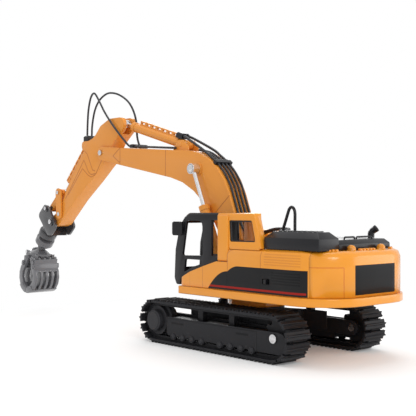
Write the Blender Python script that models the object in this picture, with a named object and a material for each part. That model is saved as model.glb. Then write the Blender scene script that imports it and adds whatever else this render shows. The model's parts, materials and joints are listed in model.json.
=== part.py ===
import bpy
import bmesh
from math import acos, ceil, cos, degrees, hypot, pi, radians, sin, tan
from mathutils import Matrix, Vector

# Lengths are millimetres, x forward, y to the left, z up, slewing axis at x = y = 0
MM = 0.001

# Fits
GAP = 0.3
PIN_PLAY = 0.3
ARC_STEP = 30.0
ROUND_SIDES = 16
PIN_SIDES = 10

# Undercarriage
TRACK_Y = 61.0
TRACK_WIDTH = 34.0
WHEEL_X = 95.0
WHEEL_Z = 25.0
SHOES = 43
PITCH_RADIUS = 22.0
SHOE_HALF = 5.6
SHOE_INNER = 20.8
SHOE_NOTCH = 21.5
SHOE_OUTER = 23.0
GROUSER_TIP = 25.0
GROUSER_LAND = 0.4
RAIL_INNER = 17.3
RAIL_NEAR = 4.5
RAIL_FAR = 9.0
BEND_GAP_ROOT = 0.9
BEND_GAP_TIP = 2.0
SPROCKET_TEETH = 11
SPROCKET_TIP = 20.2
SPROCKET_ROOT = 16.5
SPROCKET_HALF = 3.9
AXLE_RADIUS = 4.4
IDLER_RIM = 17.0
IDLER_FLANGE = 19.8
IDLER_CAP = 12.0
IDLER_SHAFT = 3.0
FRAME_OUTER = TRACK_Y + 11.3
FRAME_PLATE = TRACK_Y - 14.0
FRAME_LOW = 10.0
FRAME_HIGH = 31.0
FRAME_FRONT = 75.0
FRAME_REAR = -71.0
ROLLERS = (15.0, 31.0, 47.0, 63.0)
ROLLER_DROP = 4.0
CARRIER_X = 25.0
CHASSIS_LOW = 20.0
CHASSIS_HIGH = 40.0
RING_RADIUS = 30.0
RING_TOP = 45.7
SPINDLE_RADIUS = 12.0
SKIRT_RADIUS = 34.0

# House
DECK_LOW = 59.5
DECK_HIGH = 68.0
DECK_HALF = 75.0
DECK_FRONT = 54.0
DECK_REAR = -167.5
DECK_CORNER = 50.0
DECK_NOSE = 5.0
SHELL_INSET = 2.5
SHELL_TOP = 113.0
SHELL_ROUND = 7.0
SPLIT_X = -137.0
WELL_HALF = 28.0
WELL_REAR = -30.0
CAB_SPLIT = -9.5
CAB_BACK = -27.0
CAB_FLOOR = 98.0
CAB_SIDE = DECK_HALF - 5.0
CAB_ROOF = 149.6
CAB_WALL = 3.0
LUG_X = DECK_REAR + 14.5
LUG_Y = 23.5
LUG_RADIUS = 4.5
HOOD_LEFT = DECK_HALF - 9.0
HOOD_MID = 36.0
HOOD_RIGHT = -46.0
HOOD_REAR = -147.8
HOOD_FRONT = -75.0
HOOD_TOP = 131.4
HOOD_CHAMFER = 6.5
HOOD_RIBS = 8
LOW_HOOD_TOP = 123.5
LOW_HOOD_FRONT = -33.0
RAIL_RADIUS = 1.4
EXHAUST = (-131.0, -36.0)
EXHAUST_RADIUS = 3.6
RAIL_Y = 45.0
SWITCH_X = -83.6
SWITCH_Z = 81.0
SWITCH_TRAVEL = 3.0
KNOB_HALF = 1.6

# Boom
BOOM_HALF = 14.0
BOOM_FOOT = (12.0, 98.0)
FOOT_RADIUS = 11.0
FOOT_HALF = 9.5
CHEEK_INNER = 10.0
CHEEK_OUTER = 14.0
STICK_PIVOT = (293.0, 231.0)
FORK_REAR = 257.0
FORK_INNER = 11.4
PIN_RADIUS = 3.2
LIFT_BASE = (36.0, 80.0)
LIFT_EYE = (88.0, 201.7)
LIFT_Y = 21.0
LIFT_BARREL = 6.0
LIFT_ROD = 2.6
LIFT_LENGTH = 84.0
EYE_RADIUS = 6.0
EYE_HALF = 4.8
ARM_BASE = (126.0, 233.0)
ARM_EYE = (253.0, 268.8)
ARM_BARREL = 6.2
ARM_ROD = 2.8
ARM_LENGTH = 112.0
ARM_EAR_INNER = ARM_BARREL + 0.6
ARM_EAR_OUTER = ARM_EAR_INNER + 2.6
GUARD_HALF = 1.6
GUARD_RISE = 5.0
GUARD_SLOT = 2.0
GUARD_PITCH = 11.6

# Stick and tilt linkage
STICK_HALF = 11.0
CLEVIS_HALF = 5.4
TILT_PIVOT = (418.0, 134.5)
ROCKER_PIVOT = (402.3, 146.0)
ROCKER_EYE = (404.0, 177.7)
LINK_EYE = (431.4, 154.4)
TILT_BASE = (338.0, 244.5)
TILT_BARREL = 5.0
TILT_ROD = 2.6
TILT_LENGTH = 72.0
ROCKER_INNER = 11.4
ROCKER_OUTER = 13.9
LINK_HALF = 8.5
LINK_FLOAT = 1.2
HANGER_INNER = 14.3
HANGER_OUTER = 17.5

# Grapple
COLLAR_TILT = 40.0
COLLAR_FACE = (441.5, 132.0)
COLLAR_RADIUS = 14.0
COLLAR_NECK = 9.0
COLLAR_ONE = (15.0, 26.0)
COLLAR_TWO = (27.3, 42.0)
COLLAR_END = 46.0
SWING_AT = 30.5
TONGUE_HALF = 3.0
TONGUE_RADIUS = 4.5
SWING_PIN = 1.8
BALL_AT = 50.0
BALL_RADIUS = 6.5
HEAD_LEAN = 10.0
FLANGE_RADIUS = 16.5
FLANGE_Z = -7.0
FLANGE_THICK = 4.0
JAW_PIN_X = 8.0
JAW_PIN_Z = -17.0
JAW_PIN_RADIUS = 2.0
JAW_HUB = 5.0
JAW_CENTRE_Z = -45.0
JAW_RADIUS = 25.0
JAW_INNER = 17.5
TINE_PITCH = 9.4
TINE_HALF = 2.0
TINES = 5
GRAB_BASE = (12.5, -4.8)
GRAB_EYE = (32.0, -13.0)
GRAB_BARREL = 3.1
GRAB_LENGTH = 11.0
GRAB_ROD = 1.6
BARREL_LIP = 0.6

# Hoses
HOSE_RADIUS = 1.4
RIB_RADIUS = 1.8
BORE_RADIUS = 0.7
RIB_PITCH = 5.0
HOSE_STEP = 7.0
HOSE_LANES = (-9.0, -3.0, 3.0, 9.0)
CLAMP_AT = 128.0
CLAMP_SPAN = 5.0
CLAMP_TOP = 4.4
BLOCK_AT = 4.0
BLOCK_LONG = 12.0
BLOCK_HIGH = 7.0
BLOCK_LANE = 3.4
BLOCK_DEEP = 7.0
CLIP_X = (219.0, 225.0)
CLIP_HIGH = 4.8
CONNECTOR_X = (335.0, 346.0)
CONNECTOR_Z = (249.9, 258.0)
LOOP_LEFT = 11.2
LOOP_RIGHT = -8.0

# Finishes: colour, roughness, metallic
YELLOW = ((0.86, 0.38, 0.04, 1.0), 0.42, 0.0)
AMBER = ((0.55, 0.22, 0.03, 1.0), 0.5, 0.0)
BLACK = ((0.03, 0.03, 0.034, 1.0), 0.5, 0.0)
GREY = ((0.11, 0.11, 0.12, 1.0), 0.45, 0.0)
STEEL = ((0.72, 0.72, 0.72, 1.0), 0.25, 1.0)
RUBBER = ((0.02, 0.02, 0.022, 1.0), 0.7, 0.0)

for leftover in list(bpy.data.objects):
    bpy.data.objects.remove(leftover)


def rounded(corners, step=ARC_STEP):
    """Outline through (a, b, radius) corners with each corner filleted."""
    outline = []
    count = len(corners)
    for i, (a, b, radius) in enumerate(corners):
        corner = Vector((a, b))
        if radius == 0:
            outline.append((a, b))
            continue
        back = (Vector(corners[i - 1][:2]) - corner).normalized()
        ahead = (Vector(corners[(i + 1) % count][:2]) - corner).normalized()
        half = acos(max(-1.0, min(1.0, back.dot(ahead)))) / 2
        reach = radius / tan(half)
        centre = corner + (back + ahead).normalized() * (radius / sin(half))
        start = corner + back * reach - centre
        end = corner + ahead * reach - centre
        turn = pi - 2 * half
        side = 1 if start.x * end.y - start.y * end.x > 0 else -1
        steps = max(1, ceil(degrees(turn) / step))
        for k in range(steps + 1):
            angle = side * turn * k / steps
            outline.append((centre.x + start.x * cos(angle) - start.y * sin(angle),
                            centre.y + start.x * sin(angle) + start.y * cos(angle)))
    return outline


def arc(centre, radius, start, stop, steps):
    """Points of an arc between two angles in degrees."""
    points = []
    for k in range(steps + 1):
        angle = radians(start + (stop - start) * k / steps)
        points.append((centre[0] + radius * cos(angle), centre[1] + radius * sin(angle)))
    return points


def scratch(bm):
    """Object made from a bmesh, not yet named or finished."""
    bmesh.ops.recalc_face_normals(bm, faces=bm.faces)
    mesh = bpy.data.meshes.new("piece")
    bm.to_mesh(mesh)
    bm.free()
    obj = bpy.data.objects.new("piece", mesh)
    bpy.context.scene.collection.objects.link(obj)
    return obj


def prism(outline, low, high, axis="Y"):
    """Outline pushed between two stations: (x, z) along Y, (x, y) along Z, (y, z) along X."""
    lay = {"Y": lambda a, b: (a, low, b), "Z": lambda a, b: (a, b, low), "X": lambda a, b: (low, a, b)}
    push = {"Y": (0, high - low, 0), "Z": (0, 0, high - low), "X": (high - low, 0, 0)}
    bm = bmesh.new()
    verts = [bm.verts.new(Vector(lay[axis](a, b)) * MM) for a, b in outline]
    face = bm.faces.new(verts)
    grown = bmesh.ops.extrude_face_region(bm, geom=[face])
    moved = [item for item in grown["geom"] if isinstance(item, bmesh.types.BMVert)]
    bmesh.ops.translate(bm, verts=moved, vec=Vector(push[axis]) * MM)
    return scratch(bm)


def block(x, y, z):
    """Box between pairs of stations."""
    return prism([(x[0], z[0]), (x[1], z[0]), (x[1], z[1]), (x[0], z[1])], y[0], y[1])


def turned(profile, segments=ROUND_SIDES):
    """Closed (radius, height) profile turned about the upright axis."""
    bm = bmesh.new()
    verts = [bm.verts.new((r * MM, 0, h * MM)) for r, h in profile]
    edges = [bm.edges.new((verts[i], verts[i + 1])) for i in range(len(verts) - 1)]
    if profile[0][0] > 0:
        edges.append(bm.edges.new((verts[-1], verts[0])))
    bmesh.ops.spin(bm, geom=verts + edges, cent=(0, 0, 0), axis=(0, 0, 1), angle=2 * pi,
                   steps=segments, use_merge=True)
    bmesh.ops.remove_doubles(bm, verts=bm.verts, dist=0.000001)
    return scratch(bm)


def moved(obj, matrix):
    """Mesh carried by a matrix whose shift is in millimetres."""
    shift = Matrix.Translation(matrix.translation * MM)
    obj.data.transform(shift @ matrix.to_3x3().to_4x4())
    if matrix.determinant() < 0:
        obj.data.flip_normals()
    return obj


def aimed(obj, origin, target, y=0.0):
    """Piece drawn up the z axis laid from one (x, z) point towards another."""
    way = Vector((target[0] - origin[0], 0, target[1] - origin[1]))
    turn = Vector((0, 0, 1)).rotation_difference(way).to_matrix().to_4x4()
    return moved(obj, Matrix.Translation((origin[0], y, origin[1])) @ turn)


def round_bar(point, radius, low, high, segments=PIN_SIDES):
    """Cylinder along Y through an (x, z) point."""
    bar = turned([(0, 0), (radius, 0), (radius, high - low), (0, high - low)], segments)
    place = Matrix.Translation((point[0], low, point[1]))
    return moved(bar, place @ Matrix.Rotation(radians(-90), 4, "X"))


def combine(base, others, operation):
    """Boolean of a piece with others, which are used up."""
    for other in others:
        step = base.modifiers.new(operation, "BOOLEAN")
        step.operation = operation
        step.solver = "EXACT"
        step.object = other
    bpy.context.view_layer.update()
    graph = bpy.context.evaluated_depsgraph_get()
    result = bpy.data.meshes.new_from_object(base.evaluated_get(graph))
    base.modifiers.clear()
    base.data = result
    for other in others:
        bpy.data.objects.remove(other)
    return base


def weld(base, *others):
    return combine(base, others, "UNION")


def carve(base, *others):
    return combine(base, others, "DIFFERENCE")


def chamfer(obj, width, pick, segments=1):
    """Bevel of the edges whose two ends both pass a test on (x, y, z)."""
    bm = bmesh.new()
    bm.from_mesh(obj.data)
    edges = [e for e in bm.edges if all(pick(*(v.co / MM)) for v in e.verts)]
    bmesh.ops.bevel(bm, geom=edges, offset=width * MM, segments=segments, affect="EDGES", profile=0.5,
                    clamp_overlap=True)
    bm.to_mesh(obj.data)
    bm.free()
    return obj


def mirrored(obj):
    """Copy on the other side of the machine."""
    twin = obj.copy()
    twin.data = obj.data.copy()
    bpy.context.scene.collection.objects.link(twin)
    return moved(twin, Matrix.Diagonal((1, -1, 1, 1)))


def tube(points, radius, radii=None):
    """Round tube along points, with its ends closed."""
    curve = bpy.data.curves.new("run", "CURVE")
    curve.dimensions = "3D"
    curve.bevel_depth = radius * MM
    curve.bevel_resolution = 2
    curve.use_fill_caps = True
    spline = curve.splines.new("POLY")
    spline.points.add(len(points) - 1)
    for i, point in enumerate(points):
        spline.points[i].co = (*(Vector(point) * MM), 1)
        spline.points[i].radius = radii[i] if radii else 1.0
    run = bpy.data.objects.new("run", curve)
    bpy.context.scene.collection.objects.link(run)
    bpy.context.view_layer.update()
    graph = bpy.context.evaluated_depsgraph_get()
    mesh = bpy.data.meshes.new_from_object(run.evaluated_get(graph))
    bpy.data.objects.remove(run)
    bm = bmesh.new()
    bm.from_mesh(mesh)
    bmesh.ops.remove_doubles(bm, verts=bm.verts, dist=0.000001)
    return scratch(bm)


def smooth_run(points, spacing):
    """Evenly spaced points of a smooth curve through a few given ones."""
    knots = [Vector(p) for p in points]
    knots = [2 * knots[0] - knots[1]] + knots + [2 * knots[-1] - knots[-2]]
    dense = []
    for i in range(1, len(knots) - 2):
        p0, p1, p2, p3 = knots[i - 1:i + 3]
        for k in range(24):
            t = k / 24
            dense.append(0.5 * (2 * p1 + (p2 - p0) * t + (2 * p0 - 5 * p1 + 4 * p2 - p3) * t * t
                                + (3 * p1 - p0 - 3 * p2 + p3) * t ** 3))
    dense.append(knots[-2])
    length = sum((b - a).length for a, b in zip(dense, dense[1:]))
    count = max(2, round(length / spacing))
    even = [dense[0]]
    gone = 0.0
    for a, b in zip(dense, dense[1:]):
        step = (b - a).length
        while len(even) < count and gone + step >= len(even) * length / count:
            even.append(a.lerp(b, (len(even) * length / count - gone) / step))
        gone += step
    return even + [dense[-1]]


def pivot(name, point, parent=None):
    """Empty on a joint axis, given by its place in the machine."""
    empty = bpy.data.objects.new(name, None)
    bpy.context.scene.collection.objects.link(empty)
    empty["at"] = list(point)
    base = Vector(parent["at"]) if parent else Vector((0, 0, 0))
    empty.location = (Vector(point) - base) * MM
    empty.parent = parent
    return empty


def finish(obj, name, look, parent):
    """Name, material, shading and parent of a finished piece."""
    obj.name = name
    obj.data.name = name
    colour, roughness, metallic = look
    material = bpy.data.materials.new(name)
    material.use_nodes = True
    shader = material.node_tree.nodes["Principled BSDF"]
    shader.inputs["Base Color"].default_value = colour
    shader.inputs["Roughness"].default_value = roughness
    shader.inputs["Metallic"].default_value = metallic
    obj.data.materials.clear()
    obj.data.materials.append(material)
    obj.data.shade_smooth()
    obj.data.set_sharp_from_angle(angle=radians(35))
    obj.parent = parent
    obj.location = -Vector(parent["at"]) * MM
    return obj


# Joint axes
root = pivot("excavator", (0, 0, 0))
left_drive = pivot("left_drive_axis", (-WHEEL_X, TRACK_Y, WHEEL_Z), root)
right_drive = pivot("right_drive_axis", (-WHEEL_X, -TRACK_Y, WHEEL_Z), root)
left_front = pivot("left_idler_axis", (WHEEL_X, TRACK_Y, WHEEL_Z), root)
right_front = pivot("right_idler_axis", (WHEEL_X, -TRACK_Y, WHEEL_Z), root)
house = pivot("slew_axis", (0, 0, RING_TOP), root)
switch = pivot("switch_axis", (SWITCH_X, DECK_HALF - SHELL_INSET, SWITCH_Z), house)
boom_axis = pivot("boom_axis", (BOOM_FOOT[0], 0, BOOM_FOOT[1]), house)
left_lift = pivot("left_lift_axis", (LIFT_BASE[0], LIFT_Y, LIFT_BASE[1]), house)
right_lift = pivot("right_lift_axis", (LIFT_BASE[0], -LIFT_Y, LIFT_BASE[1]), house)
arm_axis = pivot("arm_cylinder_axis", (ARM_BASE[0], 0, ARM_BASE[1]), boom_axis)
stick_axis = pivot("stick_axis", (STICK_PIVOT[0], 0, STICK_PIVOT[1]), boom_axis)
tilt_cylinder = pivot("tilt_cylinder_axis", (TILT_BASE[0], 0, TILT_BASE[1]), stick_axis)
rocker_axis = pivot("rocker_axis", (ROCKER_PIVOT[0], 0, ROCKER_PIVOT[1]), stick_axis)
link_axis = pivot("link_axis", (ROCKER_EYE[0], 0, ROCKER_EYE[1]), rocker_axis)
tilt_axis = pivot("tilt_axis", (TILT_PIVOT[0], 0, TILT_PIVOT[1]), stick_axis)
drop = Vector((sin(radians(COLLAR_TILT)), 0, -cos(radians(COLLAR_TILT))))
swing_point = Vector((COLLAR_FACE[0], 0, COLLAR_FACE[1])) + drop * SWING_AT
swing_axis = pivot("swing_axis", swing_point, tilt_axis)
ball_point = Vector((COLLAR_FACE[0], 0, COLLAR_FACE[1])) + drop * BALL_AT
turn_axis = pivot("turn_axis", ball_point, swing_axis)
head_frame = Matrix.Translation(ball_point) @ Matrix.Rotation(radians(-HEAD_LEAN), 4, "Y")
front_jaw_axis = pivot("front_jaw_axis", head_frame @ Vector((JAW_PIN_X, 0, JAW_PIN_Z)), turn_axis)
rear_jaw_axis = pivot("rear_jaw_axis", head_frame @ Vector((-JAW_PIN_X, 0, JAW_PIN_Z)), turn_axis)
grab_axis = pivot("grab_cylinder_axis", head_frame @ Vector((GRAB_BASE[0], 0, GRAB_BASE[1])), turn_axis)


# Tracks: shoes with three grousers each round a closed loop, with two chain rails inside
def loop_point(distance):
    """Centre of bend and outward angle at a distance along the pitch line."""
    straight = 2 * WHEEL_X
    bend = pi * PITCH_RADIUS
    distance = distance % (2 * straight + 2 * bend)
    if distance < straight:
        return -WHEEL_X + distance, 90.0
    if distance < straight + bend:
        return WHEEL_X, 90.0 - 180.0 * (distance - straight) / bend
    if distance < 2 * straight + bend:
        return WHEEL_X - (distance - straight - bend), -90.0
    return -WHEEL_X, -90.0 - 180.0 * (distance - 2 * straight - bend) / bend


def bend_wedge(centre, facing, low, high):
    """Cutter between two shoes on a bend, opening outwards."""
    out = Vector((cos(radians(facing)), sin(radians(facing))))
    along = Vector((-out.y, out.x))
    base = Vector((centre, WHEEL_Z))
    outline = [base + out * (RAIL_INNER + 1) - along * BEND_GAP_ROOT,
               base + out * (GROUSER_TIP + 1) - along * BEND_GAP_TIP,
               base + out * (GROUSER_TIP + 1) + along * BEND_GAP_TIP,
               base + out * (RAIL_INNER + 1) + along * BEND_GAP_ROOT]
    return prism([tuple(p) for p in outline], low, high)


def stadium(radius):
    front = arc((WHEEL_X, WHEEL_Z), radius, 90, -90, 9)
    rear = arc((-WHEEL_X, WHEEL_Z), radius, 270, 90, 9)
    return front + rear


shoe_profile = [(-SHOE_HALF - 0.4, SHOE_NOTCH), (-SHOE_HALF + 0.5, GROUSER_TIP),
                (-SHOE_HALF + 1.6, SHOE_OUTER), (-1.2, SHOE_OUTER), (-GROUSER_LAND, GROUSER_TIP),
                (GROUSER_LAND, GROUSER_TIP), (1.2, SHOE_OUTER), (SHOE_HALF - 1.6, SHOE_OUTER),
                (SHOE_HALF - 0.5, GROUSER_TIP)]
belt_length = 4 * WHEEL_X + 2 * pi * PITCH_RADIUS
belt_outline = []
for shoe in range(SHOES):
    for along, out in shoe_profile:
        centre, facing = loop_point((shoe + 0.5) * belt_length / SHOES + along)
        belt_outline += arc((centre, WHEEL_Z), out, facing, facing, 1)[:1]
left_belt = prism(belt_outline, TRACK_Y - TRACK_WIDTH / 2, TRACK_Y + TRACK_WIDTH / 2)
carve(left_belt, prism(stadium(SHOE_INNER), TRACK_Y - TRACK_WIDTH, TRACK_Y + TRACK_WIDTH))
for low, high in ((-RAIL_FAR, -RAIL_NEAR), (RAIL_NEAR, RAIL_FAR)):
    rail = prism(stadium(SHOE_INNER + 0.4), TRACK_Y + low, TRACK_Y + high)
    carve(rail, prism(stadium(RAIL_INNER), 0, 2 * TRACK_Y))
    weld(left_belt, rail)
wedges = []
for shoe in range(SHOES):
    centre, facing = loop_point((shoe + 1) * belt_length / SHOES)
    if abs(cos(radians(facing))) > 0.1:
        wedges.append(bend_wedge(centre, facing, TRACK_Y + RAIL_FAR + 0.4, TRACK_Y + TRACK_WIDTH))
        wedges.append(bend_wedge(centre, facing, TRACK_Y - TRACK_WIDTH, TRACK_Y - RAIL_FAR - 0.4))
carve(left_belt, *wedges)
right_belt = mirrored(left_belt)
finish(left_belt, "left_track", RUBBER, root)
finish(right_belt, "right_track", RUBBER, root)

# Track frames: box, inner carrier plate, rear cover and a scalloped sole of roller ends
wheel = (WHEEL_X, WHEEL_Z)
drive = (-WHEEL_X, WHEEL_Z)
sole = [(FRAME_REAR, FRAME_HIGH), (FRAME_REAR, FRAME_LOW)]
for x in [-r for r in reversed(ROLLERS)] + list(ROLLERS):
    sole += [(x - 6, FRAME_LOW), (x - 2.5, FRAME_LOW - ROLLER_DROP), (x + 2.5, FRAME_LOW - ROLLER_DROP),
             (x + 6, FRAME_LOW)]
sole += [(FRAME_FRONT - 3, FRAME_LOW), (FRAME_FRONT, FRAME_LOW + 3), (FRAME_FRONT, FRAME_HIGH)]
left_frame = prism(sole, TRACK_Y + RAIL_FAR + 0.4, FRAME_OUTER)
body = prism(rounded([(FRAME_REAR, FRAME_LOW + 1, 2), (FRAME_FRONT - 2, FRAME_LOW + 1, 2),
                      (FRAME_FRONT - 2, FRAME_HIGH - 1, 2), (FRAME_REAR, FRAME_HIGH - 1, 2)]),
             FRAME_PLATE + 2, FRAME_OUTER - 1)
plate = prism(rounded([(-WHEEL_X - 9, 17, 8), (WHEEL_X + 9, 17, 8), (WHEEL_X + 9, 33, 8),
                       (-WHEEL_X - 9, 33, 8)]), FRAME_PLATE, FRAME_PLATE + 4)
cover = prism(rounded([(FRAME_REAR + 2, 9.5, 0), (FRAME_REAR + 2, 31.5, 0), (-WHEEL_X - 18, 31.5, 11),
                       (-WHEEL_X - 18, 9.5, 10.9)]), TRACK_Y + RAIL_FAR + 0.4, FRAME_OUTER + 0.6)
post_z = (FRAME_HIGH - 4, WHEEL_Z + SHOE_INNER - 2)
posts = [block((x - 4, x + 4), (TRACK_Y - 3.5, TRACK_Y + 3.5), post_z) for x in (-CARRIER_X, CARRIER_X)]
weld(left_frame, body, plate, cover, *posts)
carve(left_frame, round_bar(drive, AXLE_RADIUS + PIN_PLAY, 0, 2 * TRACK_Y),
      round_bar(wheel, IDLER_SHAFT + PIN_PLAY, 0, 2 * TRACK_Y))
right_frame = mirrored(left_frame)
finish(left_frame, "left_track_frame", BLACK, root)
finish(right_frame, "right_track_frame", BLACK, root)

# Drive sprockets and their axles, front idlers
tooth_outline = []
for tooth in range(SPROCKET_TEETH):
    middle = 360.0 * tooth / SPROCKET_TEETH
    for offset, radius in ((-11, SPROCKET_ROOT), (-5, SPROCKET_TIP),
                           (5, SPROCKET_TIP), (11, SPROCKET_ROOT)):
        tooth_outline += arc(drive, radius, middle + offset, middle + offset, 1)[:1]
left_sprocket = prism(tooth_outline, TRACK_Y - SPROCKET_HALF, TRACK_Y + SPROCKET_HALF)
carve(left_sprocket, round_bar(drive, AXLE_RADIUS + 0.1, 0, 2 * TRACK_Y))
left_axle = round_bar(drive, AXLE_RADIUS, FRAME_PLATE + 0.5, FRAME_OUTER + 1.4)
right_sprocket = mirrored(left_sprocket)
right_axle = mirrored(left_axle)
finish(left_sprocket, "left_sprocket", BLACK, left_drive)
finish(right_sprocket, "right_sprocket", BLACK, right_drive)
finish(left_axle, "left_drive_axle", STEEL, left_drive)
finish(right_axle, "right_drive_axle", STEEL, right_drive)

idler_start = FRAME_PLATE + 0.5 - TRACK_Y
idler_profile = [(0, 16.0), (IDLER_CAP - 2, 16.0), (IDLER_CAP, 14.6), (IDLER_CAP, 8.5), (IDLER_RIM, 8.5),
                 (IDLER_RIM, 3.6), (IDLER_FLANGE, 2.6), (IDLER_FLANGE, -2.6), (IDLER_RIM, -3.6),
                 (IDLER_RIM, -8.5), (IDLER_SHAFT, -8.5), (IDLER_SHAFT, idler_start), (0, idler_start)]
left_idler = moved(turned(idler_profile), Matrix.Translation((WHEEL_X, TRACK_Y, WHEEL_Z))
                   @ Matrix.Rotation(radians(-90), 4, "X"))
right_idler = mirrored(left_idler)
finish(left_idler, "left_idler", BLACK, left_front)
finish(right_idler, "right_idler", BLACK, right_front)

# Centre frame with four legs to the track frames, slewing ring on top
reach = FRAME_PLATE - GAP
chassis = prism(rounded([(30, -36, 8), (62, -reach, 0), (34, -reach, 0), (12, -38, 8), (-12, -38, 8),
                         (-34, -reach, 0), (-62, -reach, 0), (-30, -36, 8), (-30, 36, 8), (-62, reach, 0),
                         (-34, reach, 0), (-12, 38, 8), (12, 38, 8), (34, reach, 0), (62, reach, 0),
                         (30, 36, 8)]),
                CHASSIS_LOW, CHASSIS_HIGH, "Z")
weld(chassis, moved(turned([(0, RING_TOP), (RING_RADIUS, RING_TOP), (RING_RADIUS, CHASSIS_LOW + 5),
                            (0, CHASSIS_LOW + 5)], 24), Matrix.Identity(4)))
carve(chassis, moved(turned([(0, 60), (SPINDLE_RADIUS + GAP, 60), (SPINDLE_RADIUS + GAP, CHASSIS_LOW + 8),
                             (0, CHASSIS_LOW + 8)]), Matrix.Identity(4)))
finish(chassis, "chassis_frame", BLACK, root)
skirt_low = RING_TOP + GAP
turntable = turned([(0, DECK_LOW - GAP), (SKIRT_RADIUS, DECK_LOW - GAP), (SKIRT_RADIUS, skirt_low + 2),
                    (SKIRT_RADIUS - 2, skirt_low), (SPINDLE_RADIUS, skirt_low),
                    (SPINDLE_RADIUS, CHASSIS_LOW + 9), (0, CHASSIS_LOW + 9)], 24)
finish(turntable, "turntable", AMBER, house)


# House: deck, engine bay shell, counterweight, right-hand tank
def house_outline(inset, nose):
    corner = DECK_CORNER - inset
    side = DECK_HALF - inset
    rear = DECK_REAR + inset
    return rounded([(DECK_FRONT, -side, nose), (DECK_FRONT, side, nose), (rear, side, corner),
                    (rear, -side, corner)], 15)


deck = prism(house_outline(0, DECK_NOSE), DECK_LOW, DECK_HIGH, "Z")
chamfer(deck, 1.2, lambda x, y, z: z > DECK_HIGH - 0.1 or z < DECK_LOW + 0.1)
finish(deck, "deck_plate", YELLOW, house)

shell_low = DECK_HIGH + GAP
shell_half = DECK_HALF - SHELL_INSET
switch_room = KNOB_HALF + SWITCH_TRAVEL + 0.4
shell = prism(house_outline(SHELL_INSET, SHELL_ROUND + 2), shell_low, SHELL_TOP, "Z")
chamfer(shell, SHELL_ROUND, lambda x, y, z: z > SHELL_TOP - 0.1, 2)
fairing = [(DECK_FRONT - 0.2, DECK_LOW), (52, 76), (34, 84.6), (12.6, 91.5), (CAB_SPLIT, CAB_FLOOR)]
above_floor = fairing + [(CAB_BACK, CAB_FLOOR), (CAB_BACK, 130), (90, 130), (90, DECK_LOW)]
carve(shell, block((-200, SPLIT_X + GAP / 2), (-90, 90), (60, 130)),
      block((WELL_REAR, 90), (-WELL_HALF, WELL_HALF), (60, 130)),
      block((CAB_BACK, 90), (-90, -WELL_HALF + 1), (60, 130)),
      prism(above_floor, WELL_HALF - 1, 90),
      block((SWITCH_X - switch_room, SWITCH_X + switch_room), (shell_half - 2.5, 90),
            (SWITCH_Z - KNOB_HALF - 1, SWITCH_Z + KNOB_HALF + 1)))
finish(shell, "body_shell", YELLOW, house)

tank = prism(rounded([(50, shell_low, 2), (50, 116, 6), (43, 129.6, 5), (20, 129.6, 4), (-8, SHELL_TOP, 3),
                      (CAB_BACK + GAP, SHELL_TOP, 0), (CAB_BACK + GAP, shell_low, 0)]),
             -shell_half + 0.4, -WELL_HALF - GAP)
finish(tank, "right_tank", YELLOW, house)

weight = prism(house_outline(SHELL_INSET, SHELL_ROUND + 2), shell_low, SHELL_TOP, "Z")
chamfer(weight, SHELL_ROUND, lambda x, y, z: z > SHELL_TOP - 0.1, 2)
carve(weight, block((SPLIT_X - GAP / 2, 90), (-90, 90), (60, 130)))
for y in (-LUG_Y, LUG_Y):
    lug = prism(rounded([(LUG_X - LUG_RADIUS, SHELL_TOP - 4, 0), (LUG_X + LUG_RADIUS, SHELL_TOP - 4, 0),
                         (LUG_X + LUG_RADIUS, SHELL_TOP + 5.6, LUG_RADIUS - 0.1),
                         (LUG_X - LUG_RADIUS, SHELL_TOP + 5.6, LUG_RADIUS - 0.1)], 30), y - 1.6, y + 1.6)
    weld(weight, lug)
finish(weight, "counterweight", YELLOW, house)

knob = block((SWITCH_X - KNOB_HALF, SWITCH_X + KNOB_HALF), (shell_half - 2.2, shell_half + 2.2),
             (SWITCH_Z - 2.2, SWITCH_Z + 2.2))
chamfer(knob, 0.5, lambda x, y, z: y > shell_half + 2)
finish(knob, "power_switch", BLACK, switch)

# Hoods, exhaust and handrail
hood_low = SHELL_TOP + GAP
hood = block((HOOD_REAR, HOOD_FRONT), (HOOD_MID + GAP, HOOD_LEFT), (hood_low, HOOD_TOP))
chamfer(hood, HOOD_CHAMFER, lambda x, y, z: z > HOOD_TOP - 0.1)
rib_step = (HOOD_FRONT - HOOD_REAR - 4 * HOOD_CHAMFER) / (HOOD_RIBS - 1)
for rib in range(HOOD_RIBS):
    x = HOOD_REAR + 1.5 * HOOD_CHAMFER + rib * rib_step
    rib_y = (RAIL_Y + 2.5, HOOD_LEFT - HOOD_CHAMFER - 0.5)
    weld(hood, block((x, x + 3), rib_y, (HOOD_TOP - 3, HOOD_TOP + 1)))
finish(hood, "engine_hood", BLACK, house)

rear_hood = prism([(HOOD_REAR, HOOD_RIGHT), (LOW_HOOD_FRONT, HOOD_RIGHT), (LOW_HOOD_FRONT, WELL_HALF - GAP),
                   (HOOD_FRONT, WELL_HALF - GAP), (HOOD_FRONT, HOOD_MID), (HOOD_REAR, HOOD_MID)],
                  hood_low, LOW_HOOD_TOP, "Z")
chamfer(rear_hood, 5.0, lambda x, y, z: z > LOW_HOOD_TOP - 0.1)
finish(rear_hood, "rear_hood", BLACK, house)

exhaust = tube(smooth_run([(*EXHAUST, LOW_HOOD_TOP + GAP), (*EXHAUST, LOW_HOOD_TOP + 4),
                           (EXHAUST[0] - 0.8, EXHAUST[1] - 0.4, LOW_HOOD_TOP + 7),
                           (EXHAUST[0] - 4, EXHAUST[1] - 2, LOW_HOOD_TOP + 9.5)], 2.0), EXHAUST_RADIUS)
finish(exhaust, "exhaust_pipe", BLACK, house)

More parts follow.
